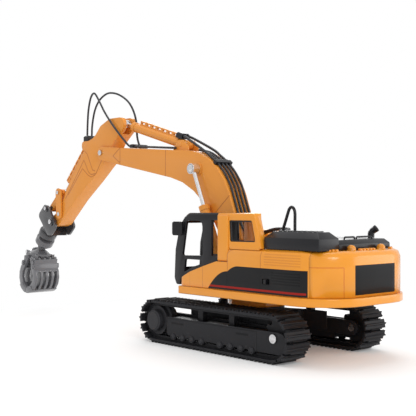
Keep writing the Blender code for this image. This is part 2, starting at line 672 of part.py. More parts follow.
rail_foot = HOOD_TOP + GAP
handrail = tube(smooth_run([(-98, RAIL_Y, rail_foot), (-98, RAIL_Y, 140), (-98, RAIL_Y, 150),
                            (-95.5, RAIL_Y, 155.5), (-92, RAIL_Y, 156.5), (-89.5, RAIL_Y, 153),
                            (-86, RAIL_Y, 144), (-82, RAIL_Y, rail_foot + 4),
                            (-82, RAIL_Y, rail_foot)], 3.2), RAIL_RADIUS)
finish(handrail, "handrail", BLACK, house)

# Cab: dark front frame, yellow rear shell, open windows
cab_in = WELL_HALF + GAP
front_outline = rounded([(CAB_SPLIT + GAP, CAB_ROOF, 0), (CAB_SPLIT + GAP, CAB_FLOOR + GAP, 0),
                         (12.7, 91.5 + GAP, 0), (34.2, 84.6 + GAP, 0), (52.5, 76 + GAP, 0),
                         (DECK_FRONT + GAP, 69, 0), (60, 69, 3), (63.5, 76, 4), (61, 122, 30),
                         (50, 143, 12), (40, CAB_ROOF, 10)])
cab_front = prism(front_outline, cab_in, CAB_SIDE)
chamfer(cab_front, 1.6, lambda x, y, z: y > CAB_SIDE - 0.1 and z > 100)
inner = rounded([(CAB_SPLIT - 10, CAB_ROOF - CAB_WALL, 0), (CAB_SPLIT - 10, CAB_FLOOR + 2, 0),
                 (12.7, 91.5 + 3, 0), (34.2, 84.6 + 3, 0), (54, 78, 0), (60.3, 76, 0), (58, 122, 27),
                 (47, 141.5, 9), (38.5, CAB_ROOF - CAB_WALL, 7)])
front_pane = block((40, 90), (cab_in + 5, CAB_SIDE - 5), (88, 138))
door_pane = prism(rounded([(42.5, 141, 3), (15.8, 141, 6), (15.5, 103, 2), (50, 102, 2)]), 0, 90)
low_pane = prism(rounded([(45, 98, 2), (17.3, 98, 2), (17.3, 94, 1), (34.4, 89, 1), (47, 83, 1)]), 0, 90)
slit_pane = block((-9, 1), (0, 90), (103, 142))
carve(cab_front, prism(inner, cab_in + CAB_WALL, CAB_SIDE - CAB_WALL), front_pane, door_pane, low_pane,
      slit_pane)
finish(cab_front, "cab_front_frame", BLACK, house)

cab_outline = rounded([(CAB_SPLIT, CAB_ROOF, 0), (-64.5, CAB_ROOF, 3), (-74.4, hood_low, 0),
                       (CAB_BACK, hood_low, 0), (CAB_BACK, CAB_FLOOR + GAP, 0),
                       (CAB_SPLIT, CAB_FLOOR + GAP, 0)])
cab_rear = prism(cab_outline, cab_in, CAB_SIDE)
chamfer(cab_rear, 2.4, lambda x, y, z: y > CAB_SIDE - 0.1 and (z > CAB_ROOF - 6 or x < -70), 2)
skirt = prism([(CAB_SIDE - 3, hood_low + 2), (CAB_SIDE, hood_low + 2), (CAB_SIDE, hood_low - 1.6),
               (CAB_SIDE - 3, hood_low - 0.35)], -72, CAB_BACK - 1, "X")
weld(cab_rear, skirt)
cab_room = rounded([(CAB_SPLIT + 10, CAB_ROOF - CAB_WALL, 0), (-62, CAB_ROOF - CAB_WALL, 2),
                    (-70.4, hood_low + CAB_WALL, 0), (CAB_BACK + CAB_WALL, hood_low + CAB_WALL, 0),
                    (CAB_BACK + CAB_WALL, CAB_FLOOR + 3, 0), (CAB_SPLIT + 10, CAB_FLOOR + 3, 0)])
side_pane = prism(rounded([(-26.5, 142, 2), (-61, 142, 2), (-66.5, 120, 2), (-28, 119.5, 2)]), 0, 90)
open_back = prism([(CAB_BACK - 2, 0), (CAB_BACK - 2, cab_in + 1), (-66, CAB_SIDE - 9),
                   (-90, CAB_SIDE - 9), (-90, 0)], hood_low - 5, CAB_ROOF + 5, "Z")
carve(cab_rear, prism(cab_room, cab_in + CAB_WALL, CAB_SIDE - CAB_WALL), side_pane, open_back)
finish(cab_rear, "cab_shell", YELLOW, house)

mirror_turn = Matrix.Translation((53.2, CAB_SIDE + 4.2, 132)) @ Matrix.Rotation(radians(16), 4, "Z")
mirror = prism(rounded([(-6.6, -7.8, 2.5), (6.6, -7.8, 2.5), (6.6, 7.8, 2.5), (-6.6, 7.8, 2.5)]), -1.2, 1.2)
moved(mirror, mirror_turn)
weld(mirror, block((50, 53.5), (CAB_SIDE + GAP, CAB_SIDE + 4), (129, 132.5)))
finish(mirror, "cab_mirror", BLACK, house)

# Boom bracket: two cheeks on a foot plate, with the lift cylinders' cross pin
cheek_outline = rounded([(-6, shell_low, 0), (46, shell_low, 4), (46, LIFT_BASE[1] + 8, 7.9),
                         (28, LIFT_BASE[1] + 8, 4), (25, BOOM_FOOT[1] + 13, 12),
                         (-1, BOOM_FOOT[1] + 13, 12)])
bracket = block((-8, 48), (-CHEEK_OUTER, CHEEK_OUTER), (shell_low, shell_low + 4))
for side in (-1, 1):
    inner_y, outer_y = sorted((side * CHEEK_INNER, side * CHEEK_OUTER))
    weld(bracket, prism(cheek_outline, inner_y, outer_y))
weld(bracket, round_bar(LIFT_BASE, PIN_RADIUS, -LIFT_Y - 5, LIFT_Y + 5))
carve(bracket, round_bar(BOOM_FOOT, PIN_RADIUS + 0.1, -40, 40))
finish(bracket, "boom_bracket", YELLOW, house)
foot_pin = round_bar(BOOM_FOOT, PIN_RADIUS, -CHEEK_OUTER - 1, CHEEK_OUTER + 1)
finish(foot_pin, "boom_foot_pin", STEEL, house)

# Boom: bent box beam, narrowed at the foot, forked at the nose
boom_corners = [(0.5, BOOM_FOOT[1] - FOOT_RADIUS, 10.9), (23.5, BOOM_FOOT[1] - FOOT_RADIUS, 10.9),
                (90.5, 183.9, 120), (257, 214, 20), (300, 222.5, 7.9), (301, 240, 7.9), (247, 235.5, 0),
                (52.7, 220.7, 84)]
boom = prism(rounded(boom_corners, 14), -BOOM_HALF, BOOM_HALF)
nose = [(FORK_REAR, 200), (320, 200), (320, 260), (FORK_REAR, 260)]
carve(boom, prism(nose, -FORK_INNER, FORK_INNER),
      block((-20, 60), (FOOT_HALF, 40), (60, 119)), block((-20, 60), (-40, -FOOT_HALF), (60, 119)))
ear_outline = rounded([(112, 220, 0), (142, 222, 0), (139, 231, 4), (131, ARM_BASE[1] + 6, 4),
                       (121, ARM_BASE[1] + 6, 4), (112, 230, 4)])
for side in (-1, 1):
    inner_y, outer_y = sorted((side * ARM_EAR_INNER, side * ARM_EAR_OUTER))
    weld(boom, prism(ear_outline, inner_y, outer_y))
weld(boom, round_bar(ARM_BASE, 2.4, -ARM_EAR_OUTER - 0.6, ARM_EAR_OUTER + 0.6))
weld(boom, round_bar(LIFT_EYE, 8, -BOOM_HALF - 1.6, BOOM_HALF + 1.6))
carve(boom, round_bar(BOOM_FOOT, PIN_RADIUS + PIN_PLAY, -40, 40),
      round_bar(STICK_PIVOT, PIN_RADIUS + 0.1, -40, 40))
finish(boom, "boom", YELLOW, boom_axis)
stick_pin = round_bar(STICK_PIVOT, PIN_RADIUS, -BOOM_HALF - 1.2, BOOM_HALF + 1.2)
finish(stick_pin, "stick_pin", STEEL, boom_axis)


# Hydraulic cylinders: barrel with eye and collar, rod with eye
def barrel(base, tip, y, radius, rod, length, bore, half, start):
    lift = hypot(tip[0] - base[0], tip[1] - base[1])
    lip = radius + BARREL_LIP
    body = turned([(0, length), (lip, length), (lip, length - 6), (radius, length - 6), (radius, 1),
                   (0, 1)], 12)
    deep = turned([(0, lift), (rod + GAP, lift), (rod + GAP, start), (0, start)], 8)
    aimed(body, base, tip, y)
    aimed(deep, base, tip, y)
    weld(body, round_bar(base, radius + 0.1, y - half, y + half))
    return carve(body, deep, round_bar(base, bore + PIN_PLAY, y - 40, y + 40))


def ram(base, tip, y, rod, reach, eye, half, bore):
    lift = hypot(tip[0] - base[0], tip[1] - base[1])
    body = aimed(turned([(0, lift), (rod, lift), (rod, reach), (0, reach)], 8), base, tip, y)
    weld(body, round_bar(tip, eye, y - half, y + half))
    if bore:
        carve(body, round_bar(tip, bore, y - 40, y + 40))
    return body


def guard(base, tip, radius, low, high):
    """Slotted strip standing along a barrel."""
    crest = radius + GUARD_RISE
    strip = prism([(radius - 1.4, low), (crest, low), (crest, high), (radius - 1.4, high)],
                  -GUARD_HALF, GUARD_HALF)
    count = round((high - low) / GUARD_PITCH)
    step = (high - low) / count
    sill = radius + 1.2
    slots = [block((sill, sill + GUARD_SLOT), (-10, 10), (low + k * step + 2, low + (k + 1) * step - 2))
             for k in range(count)]
    notches = [prism([(crest - 1.2, low + k * step), (crest + 1, low + k * step - 1.8),
                      (crest + 1, low + k * step + 1.8)], -10, 10) for k in range(1, count)]
    carve(strip, *slots, *notches)
    return aimed(moved(strip, Matrix.Rotation(pi, 4, "Z")), base, tip)


left_barrel = barrel(LIFT_BASE, LIFT_EYE, LIFT_Y, LIFT_BARREL, LIFT_ROD, LIFT_LENGTH,
                     PIN_RADIUS, EYE_HALF, 24)
left_rod = ram(LIFT_BASE, LIFT_EYE, LIFT_Y, LIFT_ROD, 40, EYE_RADIUS + 0.5, EYE_HALF, 0)
right_barrel = mirrored(left_barrel)
right_rod = mirrored(left_rod)
finish(left_barrel, "left_boom_barrel", YELLOW, left_lift)
finish(right_barrel, "right_boom_barrel", YELLOW, right_lift)
finish(left_rod, "left_boom_rod", STEEL, left_lift)
finish(right_rod, "right_boom_rod", STEEL, right_lift)

arm_half = ARM_EAR_INNER - GAP - 0.1
arm_barrel = barrel(ARM_BASE, ARM_EYE, 0, ARM_BARREL, ARM_ROD, ARM_LENGTH, 2.4, arm_half, 36)
weld(arm_barrel, guard(ARM_BASE, ARM_EYE, ARM_BARREL, 17, ARM_LENGTH - 14))
finish(arm_barrel, "arm_barrel", YELLOW, arm_axis)
arm_rod = ram(ARM_BASE, ARM_EYE, 0, ARM_ROD, 45, 5.6, CLEVIS_HALF - 0.8, 0)
finish(arm_rod, "arm_rod", STEEL, arm_axis)

# Stick: tapering beam with a clevis at the top and ears for the tilt cylinder
stick_corners = [(244.5, 277, 8), (276, 277, 8), (298, 268.5, 6), (310, 257, 6), (330, 244.5, 8),
                 (385.5, 182, 20), (398, 160, 10), (414, 147, 6), (427.5, 140, 8), (424, 125.5, 8),
                 (406, 130, 6), (361, 166.7, 0), (321.6, 193.4, 40), (288, 218, 30), (268.5, 243, 20),
                 (243.5, 262, 7)]
stick = prism(rounded(stick_corners), -STICK_HALF, STICK_HALF)
ear_top = CONNECTOR_Z[0] - GAP
tilt_ear = rounded([(312, 254, 0), (328, ear_top, 3), (345, ear_top, 5), (344, 234, 6), (326, 240, 0)])
for side in (-1, 1):
    inner_y, outer_y = sorted((side * (TILT_BARREL + GAP), side * STICK_HALF))
    weld(stick, prism(tilt_ear, inner_y, outer_y))
carve(stick, block((230, 272), (-CLEVIS_HALF, CLEVIS_HALF), (255, 290)),
      prism([(329, 252), (346, 230), (360, 240), (343, 262)], -TILT_BARREL - GAP, TILT_BARREL + GAP),
      round_bar(STICK_PIVOT, PIN_RADIUS + PIN_PLAY, -40, 40),
      round_bar(TILT_PIVOT, PIN_RADIUS + PIN_PLAY, -40, 40),
      round_bar(ROCKER_PIVOT, 2.4 + PIN_PLAY, -40, 40))
weld(stick, round_bar(TILT_BASE, 2.0, -STICK_HALF, STICK_HALF))
finish(stick, "stick", YELLOW, stick_axis)

tilt_half = TILT_BARREL - 0.5
tilt_barrel = barrel(TILT_BASE, ROCKER_EYE, 0, TILT_BARREL, TILT_ROD, TILT_LENGTH, 2.0, tilt_half, 14)
weld(tilt_barrel, guard(TILT_BASE, ROCKER_EYE, TILT_BARREL, 14, TILT_LENGTH + 6))
finish(tilt_barrel, "tilt_barrel", YELLOW, tilt_cylinder)
tilt_rod = ram(TILT_BASE, ROCKER_EYE, 0, TILT_ROD, 30, 5.0, 3.6, 2.0 + LINK_FLOAT + PIN_PLAY)
finish(tilt_rod, "tilt_rod", STEEL, tilt_cylinder)

# Rocker: two plates with a cross pin at each end
rocker_outline = rounded([(395.5, 139, 6.4), (409, 139, 6.4), (411, 184, 6.4), (397, 184, 6.4)])
rocker = prism(rocker_outline, ROCKER_INNER, ROCKER_OUTER)
weld(rocker, round_bar(ROCKER_PIVOT, 2.4, -ROCKER_OUTER - 0.2, ROCKER_OUTER + 0.2),
     round_bar(ROCKER_EYE, 2.0, -ROCKER_OUTER - 1, ROCKER_OUTER + 1))
weld(rocker, prism(rocker_outline, -ROCKER_OUTER, -ROCKER_INNER))
finish(rocker, "rocker", YELLOW, rocker_axis)

# Link from the rocker to the hanger, split round the rod eye
link_way = Vector((LINK_EYE[0] - ROCKER_EYE[0], LINK_EYE[1] - ROCKER_EYE[1]))
link_span = link_way.length
link = prism(rounded([(-5, -5, 4.9), (5, -5, 4.9), (5, link_span + 5, 4.9), (-5, link_span + 5, 4.9)]),
             -LINK_HALF, LINK_HALF)
aimed(link, ROCKER_EYE, LINK_EYE)
notch = aimed(block((-12, 12), (-4.2, 4.2), (-20, 9)), ROCKER_EYE, LINK_EYE)
carve(link, notch, round_bar(ROCKER_EYE, 2.0 + PIN_PLAY, -40, 40),
      round_bar(LINK_EYE, 2.2 + LINK_FLOAT, -40, 40))
finish(link, "tilt_link", YELLOW, link_axis)

# Hanger: two ears, bridge, neck and upper collar of the grapple
ear = rounded([(404, 127, 5), (420, 113, 6), (431, 118, 3), (455, 144, 6), (433, 163, 8), (422, 152, 8)])
collar_way = (COLLAR_FACE[0] + drop.x, COLLAR_FACE[1] + drop.z)
top, bottom = COLLAR_ONE
hanger = aimed(turned([(0, bottom), (COLLAR_RADIUS - 1.5, bottom), (COLLAR_RADIUS, bottom - 2),
                       (COLLAR_RADIUS, top + 2), (COLLAR_RADIUS - 2, top), (COLLAR_NECK + 2, top),
                       (COLLAR_NECK + 2, -3), (0, -3)]), COLLAR_FACE, collar_way)
bridge = prism(rounded([(426, 113.5, 0), (432, 114.5, 0), (454, 141, 3), (447, 145, 3)]),
               -HANGER_INNER - 1, HANGER_INNER + 1)
weld(hanger, bridge)
for side in (-1, 1):
    inner_y, outer_y = sorted((side * HANGER_INNER, side * HANGER_OUTER))
    weld(hanger, prism(ear, inner_y, outer_y))
    inner_y, outer_y = sorted((side * (STICK_HALF + GAP), side * (HANGER_INNER + 1)))
    weld(hanger, round_bar(TILT_PIVOT, 6, inner_y, outer_y))
weld(hanger, round_bar(LINK_EYE, 2.2, -HANGER_OUTER - 1, HANGER_OUTER + 1))
tongue = prism(rounded([(-TONGUE_RADIUS, SWING_AT - 10, 0), (TONGUE_RADIUS, SWING_AT - 10, 0),
                        (TONGUE_RADIUS, SWING_AT + TONGUE_RADIUS, TONGUE_RADIUS - 0.1),
                        (-TONGUE_RADIUS, SWING_AT + TONGUE_RADIUS, TONGUE_RADIUS - 0.1)]),
               -TONGUE_HALF, TONGUE_HALF)
weld(hanger, aimed(tongue, COLLAR_FACE, collar_way))
swing_at = (swing_point.x, swing_point.z)
carve(hanger, round_bar(TILT_PIVOT, PIN_RADIUS + 0.1, -40, 40),
      round_bar(swing_at, SWING_PIN + PIN_PLAY, -TONGUE_HALF - 2, TONGUE_HALF + 2))
finish(hanger, "hanger", BLACK, tilt_axis)
tip_pin = round_bar(TILT_PIVOT, PIN_RADIUS, -HANGER_OUTER - 1.2, HANGER_OUTER + 1.2)
finish(tip_pin, "tip_pin", STEEL, tilt_axis)

# Swing collar: slotted for the hanger's tongue, hollowed for the ball of the grapple head
top, bottom = COLLAR_TWO
collar = aimed(turned([(0, COLLAR_END), (COLLAR_NECK - 1, COLLAR_END), (COLLAR_NECK, bottom),
                       (COLLAR_RADIUS - 2, bottom), (COLLAR_RADIUS, bottom - 2.5),
                       (COLLAR_RADIUS, top + 3.4), (COLLAR_NECK - 5, top), (0, top)]),
               COLLAR_FACE, collar_way)
slot = block((-TONGUE_RADIUS - 1.5, TONGUE_RADIUS + 1.5), (-TONGUE_HALF - GAP, TONGUE_HALF + GAP),
             (COLLAR_ONE[0], SWING_AT + TONGUE_RADIUS + 1))
socket = turned([(0, BALL_RADIUS + 0.5)] + arc((0, 0), BALL_RADIUS + 0.5, 60, -20, 3)
                + [(11, -14), (0, -14)])
carve(collar, aimed(slot, COLLAR_FACE, collar_way), moved(socket, head_frame))
weld(collar, round_bar(swing_at, SWING_PIN, -TONGUE_HALF - 2, TONGUE_HALF + 2))
finish(collar, "swing_collar", GREY, swing_axis)

# Grapple head: ball, cone, flange and four hinge plates with the jaw pins
head = turned([(0, BALL_RADIUS)] + arc((0, 0), BALL_RADIUS, 60, -20, 3)
              + [(FLANGE_RADIUS - 8, FLANGE_Z + 4), (FLANGE_RADIUS - 2, FLANGE_Z),
                 (FLANGE_RADIUS, FLANGE_Z - 1), (FLANGE_RADIUS, FLANGE_Z - FLANGE_THICK),
                 (0, FLANGE_Z - FLANGE_THICK)])
plate_outline = rounded([(-12, FLANGE_Z - 2, 0), (12, FLANGE_Z - 2, 0),
                         (JAW_PIN_X + 4.5, JAW_PIN_Z - 4.5, 4), (-JAW_PIN_X - 4.5, JAW_PIN_Z - 4.5, 4)])
plate_half = TINE_PITCH / 2 - TINE_HALF - GAP - 0.1
for y in (-1.5 * TINE_PITCH, -0.5 * TINE_PITCH, 0.5 * TINE_PITCH, 1.5 * TINE_PITCH):
    weld(head, prism(plate_outline, y - plate_half, y + plate_half))
tine_span = TINE_PITCH * (TINES - 1) / 2 + TINE_HALF
for x in (-JAW_PIN_X, JAW_PIN_X):
    weld(head, round_bar((x, JAW_PIN_Z), JAW_PIN_RADIUS, -tine_span - 0.8, tine_span + 0.8, 8))
grab_room = GRAB_BARREL + BARREL_LIP + GAP
weld(head, prism(rounded([(GRAB_BASE[0] - 3, FLANGE_Z - 2, 0), (GRAB_BASE[0] + 3, FLANGE_Z - 2, 0),
                          (GRAB_BASE[0] + 2.4, GRAB_BASE[1] + 2.4, 2.3),
                          (GRAB_BASE[0] - 2.4, GRAB_BASE[1] + 2.4, 2.3)]),
                 -grab_room - 2.4, grab_room + 2.4))
carve(head, block((GRAB_BASE[0] - GRAB_BARREL - 1, 30), (-grab_room, grab_room),
                  (FLANGE_Z - FLANGE_THICK - 1, 20)))
weld(head, round_bar(GRAB_BASE, 1.5, -grab_room - 1, grab_room + 1, 8))
finish(moved(head, head_frame), "grapple_head", GREY, turn_axis)


# Jaws: five crescent tines, a shoulder bar and a bottom bar each
def jaw(side):
    middle = (0, JAW_CENTRE_Z)
    pin = (-JAW_PIN_X, JAW_PIN_Z)
    hub = arc(pin, JAW_HUB, -50, 190, 4)
    outer = arc(middle, JAW_RADIUS, 128, 268, 6)
    inner = arc((1.5, JAW_CENTRE_Z + 1), JAW_INNER, 262, 135, 4)
    tine = hub + outer + inner
    blade = arc(middle, JAW_RADIUS + 0.5, 222, 266, 3) + [(-0.5, JAW_CENTRE_Z - JAW_RADIUS),
                                                          (-0.5, JAW_CENTRE_Z - JAW_INNER)]
    blade += arc(middle, JAW_INNER, 258, 222, 2)
    body = prism(blade, -tine_span - 1, tine_span + 1)
    top = JAW_PIN_Z - 5
    shoulder = prism(rounded([(-17, top - 7, 2), (-12, top - 9, 2), (-12, top, 2), (-16, top, 2)]),
                     -tine_span - 2.5, tine_span + 2.5)
    skin = arc(pin, JAW_HUB + 3.6, 168, 200, 1) + arc(middle, JAW_RADIUS - 0.4, 136, 152, 2)
    skin += arc(middle, JAW_INNER + 2, 150, 140, 1) + arc(pin, JAW_HUB + 1.6, 200, 168, 1)
    skin = prism(skin, -tine_span + 1, tine_span - 1)
    weld(body, shoulder)
    weld(body, skin)
    for k in range(TINES):
        y = (k - (TINES - 1) / 2) * TINE_PITCH
        weld(body, prism(tine, y - TINE_HALF, y + TINE_HALF))
    carve(body, round_bar((-JAW_PIN_X, JAW_PIN_Z), JAW_PIN_RADIUS + PIN_PLAY, -40, 40, 8))
    if side > 0:
        moved(body, Matrix.Diagonal((-1, 1, 1, 1)))
        x, z = GRAB_EYE
        ear = rounded([(15, top - 5, 0), (22, top - 5, 0), (x + 3, z - 3, 2.9), (x + 3, z + 3, 2.9),
                       (x - 3, z + 3, 2.9)])
        weld(body, prism(ear, grab_room, grab_room + 3))
        weld(body, prism(ear, -grab_room - 3, -grab_room))
    return moved(body, head_frame)


finish(jaw(1), "front_jaw", GREY, front_jaw_axis)
finish(jaw(-1), "rear_jaw", GREY, rear_jaw_axis)
grab_half = GRAB_BARREL - 0.5
grab_barrel = barrel(GRAB_BASE, GRAB_EYE, 0, GRAB_BARREL, GRAB_ROD, GRAB_LENGTH, 1.5, grab_half, 3.2)
grab_rod = ram(GRAB_BASE, GRAB_EYE, 0, GRAB_ROD, 9.9, 2.7, grab_room - GAP, 0)
finish(moved(grab_barrel, head_frame), "grab_barrel", GREY, grab_axis)
finish(moved(grab_rod, head_frame), "grab_rod", STEEL, grab_axis)

# Boom hoses: four lanes up the back under a clamp, the outer two going on ribbed to a block
back_corner = Vector(boom_corners[-1][:2])
to_foot = (Vector(boom_corners[0][:2]) - back_corner).normalized()
to_nose = (Vector(boom_corners[-2][:2]) - back_corner).normalized()
bend_half = acos(to_foot.dot(to_nose)) / 2
bend_radius = boom_corners[-1][2]
bend_centre = back_corner + (to_foot + to_nose).normalized() * (bend_radius / sin(bend_half))
foot_side = to_foot * (bend_radius / tan(bend_half)) + back_corner


def on_back(angle, lift):
    """Point above the boom's bend at an angle in degrees."""
    spot = arc(bend_centre, bend_radius + lift, angle, angle, 1)[0]
    return Vector(spot)


def ribbed(route, plain=()):
    """Hose with ribs along a route, after an optional plain stretch, bored through."""
    run = smooth_run(route, RIB_PITCH / 2)
    radii = [1.0 if k % 2 else HOSE_RADIUS / RIB_RADIUS for k in range(len(run))]
    for k in (0, 1, -2, -1):
        radii[k] = HOSE_RADIUS / RIB_RADIUS
    start = list(plain)
    hose = tube(start + run, RIB_RADIUS, [HOSE_RADIUS / RIB_RADIUS] * len(start) + radii)
    way = smooth_run([*start[::3], *route] if start else route, RIB_PITCH)
    way[0] = way[0] + (way[0] - way[1]).normalized() * 2
    way[-1] = way[-1] + (way[-1] - way[-2]).normalized() * 2
    return carve(hose, tube(way, BORE_RADIUS))


hose_lift = HOSE_RADIUS + GAP
bend_start = degrees((foot_side - bend_centre).angle_signed(Vector((1, 0))))
lane_low = foot_side + to_foot * 30 + Vector((to_foot.y, -to_foot.x)) * hose_lift
block_foot = ARM_BARREL + GAP
block_mid = block_foot + BLOCK_HIGH / 2
block_span = (BLOCK_AT, BLOCK_AT + BLOCK_LONG)
arm_way = (Vector(ARM_EYE) - Vector(ARM_BASE)).normalized()
block_end = Vector(ARM_BASE) + arm_way * (BLOCK_AT + 2) + Vector((-arm_way.y, arm_way.x)) * block_mid
for number, lane in enumerate(HOSE_LANES, 1):
    climb = [lane_low] + [on_back(angle, hose_lift) for angle in (bend_start - 2, 148, 138, CLAMP_AT)]
    climb = [Vector((p.x, lane, p.y)) for p in climb]
    if abs(lane) > ARM_EAR_INNER:
        rise = [on_back(CLAMP_AT - 4, hose_lift), on_back(116, hose_lift + 0.6),
                on_back(107, hose_lift + 3)]
        rise = [Vector((p.x, lane, p.y)) for p in rise]
        side = BLOCK_LANE if lane > 0 else -BLOCK_LANE
        before = block_end - arm_way * 10
        rise += [Vector((before.x, side * 1.5, before.y)), Vector((block_end.x, side, block_end.y))]
        hose = ribbed(rise, smooth_run(climb, HOSE_STEP))
    else:
        climb += [Vector((p.x, lane, p.y)) for p in (on_back(112, hose_lift), on_back(99, hose_lift))]
        hose = tube(smooth_run(climb, HOSE_STEP), HOSE_RADIUS)
    finish(hose, "boom_hose_%d" % number, RUBBER, boom_axis)

clamp_low = on_back(CLAMP_AT, GAP)
clamp_high = on_back(CLAMP_AT, CLAMP_TOP)
clamp = block((-CLAMP_SPAN / 2, CLAMP_SPAN / 2), (-BOOM_HALF + 1, BOOM_HALF - 1), (0, CLAMP_TOP - GAP))
for lane in HOSE_LANES:
    tunnel = moved(turned([(0, 9), (HOSE_RADIUS + 0.25, 9), (HOSE_RADIUS + 0.25, -9), (0, -9)], 8),
                   Matrix.Translation((0, lane, HOSE_RADIUS)) @ Matrix.Rotation(radians(90), 4, "Y"))
    slit = block((-9, 9), (lane - HOSE_RADIUS - 0.2, lane + HOSE_RADIUS + 0.2), (-3, HOSE_RADIUS))
    carve(clamp, tunnel, slit)
aimed(clamp, clamp_low, clamp_high)
finish(clamp, "hose_clamp", BLACK, boom_axis)

hose_block = block((-block_foot - BLOCK_HIGH, -block_foot), (-ARM_BARREL, ARM_BARREL), block_span)
chamfer(hose_block, 1.6, lambda x, y, z: x < -block_foot - BLOCK_HIGH + 0.1)
for lane in (-BLOCK_LANE, BLOCK_LANE):
    socket = turned([(0, 1), (HOSE_RADIUS + 1, 1), (HOSE_RADIUS + 1, BLOCK_DEEP), (0, BLOCK_DEEP)], 8)
    carve(hose_block, moved(socket, Matrix.Translation((-block_mid, lane, BLOCK_AT - 2))))
aimed(hose_block, ARM_BASE, ARM_EYE)
finish(hose_block, "hose_block", BLACK, arm_axis)

# Free hoses: two loops from the stick's connector to a clip on the boom
connector = block(CONNECTOR_X, (-STICK_HALF + 4, STICK_HALF - 4), CONNECTOR_Z)
chamfer(connector, 1.6, lambda x, y, z: z > CONNECTOR_Z[1] - 0.1)
finish(connector, "hose_connector", BLACK, stick_axis)

nose_slope = (boom_corners[-2][1] - back_corner.y) / (boom_corners[-2][0] - back_corner.x)


def top_of_boom(x, lift):
    return back_corner.y + (x - back_corner.x) * nose_slope + lift


clip_floor = top_of_boom(CLIP_X[1], GAP)
clip = block(CLIP_X, (LOOP_RIGHT - 3, LOOP_LEFT + 3), (clip_floor, clip_floor + CLIP_HIGH))
loop_lift = hose_lift + 0.9
left_route = [(CLIP_X[0] - 86, LOOP_LEFT, top_of_boom(CLIP_X[0] - 86, loop_lift)),
              (CLIP_X[0] - 36, LOOP_LEFT, top_of_boom(CLIP_X[0] - 36, loop_lift)),
              (CLIP_X[0] - 2, LOOP_LEFT, top_of_boom(CLIP_X[0] - 2, loop_lift)),
              (CLIP_X[1] + 4, LOOP_LEFT, top_of_boom(CLIP_X[1] + 4, loop_lift)),
              (239, 13.5, 245.5), (250, 14, 255), (265, 14, 268), (283, 14, 286), (300, 12, 304),
              (314, 10, 315.5), (326, 8, 311), (335, 6, 294), (339.5, 4.5, 274),
              (341, 4, CONNECTOR_Z[1] + GAP)]
tunnel_to = Vector((CLIP_X[1] + 8, LOOP_LEFT, top_of_boom(CLIP_X[1] + 8, loop_lift)))
tunnel_from = Vector((CLIP_X[0] - 8, LOOP_LEFT, top_of_boom(CLIP_X[0] - 8, loop_lift)))
carve(clip, tube([tunnel_from, tunnel_to], HOSE_RADIUS + 2 * GAP))
chamfer(clip, 0.8, lambda x, y, z: z > clip_floor + CLIP_HIGH - 0.1)
finish(clip, "hose_clip", BLACK, boom_axis)
right_route = [(CLIP_X[1] + 3 * GAP, LOOP_RIGHT, clip_floor + 2), (231, LOOP_RIGHT, clip_floor + 2.6),
               (235, LOOP_RIGHT, 242), (238.5, LOOP_RIGHT, 252),
               (239.5, LOOP_RIGHT, 268), (246, LOOP_RIGHT, 285), (258, LOOP_RIGHT, 299.5),
               (276, LOOP_RIGHT, 310), (294, LOOP_RIGHT, 315.5), (311, LOOP_RIGHT, 315.8),
               (327, LOOP_RIGHT + 1, 308), (337, -6, 294), (341, -4.5, 274),
               (341.5, -4, CONNECTOR_Z[1] + GAP)]
finish(tube(smooth_run(left_route, HOSE_STEP), HOSE_RADIUS), "left_loop_hose", RUBBER, boom_axis)
finish(tube(smooth_run(right_route, HOSE_STEP), HOSE_RADIUS), "right_loop_hose", RUBBER, boom_axis)

# Free ribbed hoses from the foot of the boom lanes back to the hood
hose_foot = lane_low + to_foot * 0.5
for number, (lane, end_y) in enumerate(((HOSE_LANES[2], 40.0), (HOSE_LANES[3], 49.0)), 1):
    leave = hose_foot + to_foot * 5
    end_x = HOOD_FRONT - 2.6
    route = [(hose_foot.x, lane, hose_foot.y), (leave.x, lane, leave.y), (9, lane + 1, 125.5),
             (-6, lane + 4, 124), (-28, lane + 8, 129), (-50, 12.5 + 5 * number, 132.5),
             (-66, 14.5 + 6 * number, 132.5), (-75, end_y - 9, 131.5),
             (end_x, end_y, HOOD_TOP - HOOD_CHAMFER + 2.6 + RIB_RADIUS)]
    finish(ribbed(route), "deck_hose_%d" % number, RUBBER, house)

# Frame: origin under the middle of the machine's box
bpy.context.view_layer.update()
solids = [obj for obj in bpy.data.objects if obj.type == "MESH"]
corners = [obj.matrix_world @ Vector(c) for obj in solids for c in obj.bound_box]
middle = [(min(c[i] for c in corners) + max(c[i] for c in corners)) / 2 for i in range(2)]
root.location = (-middle[0], -middle[1], -min(c.z for c in corners))
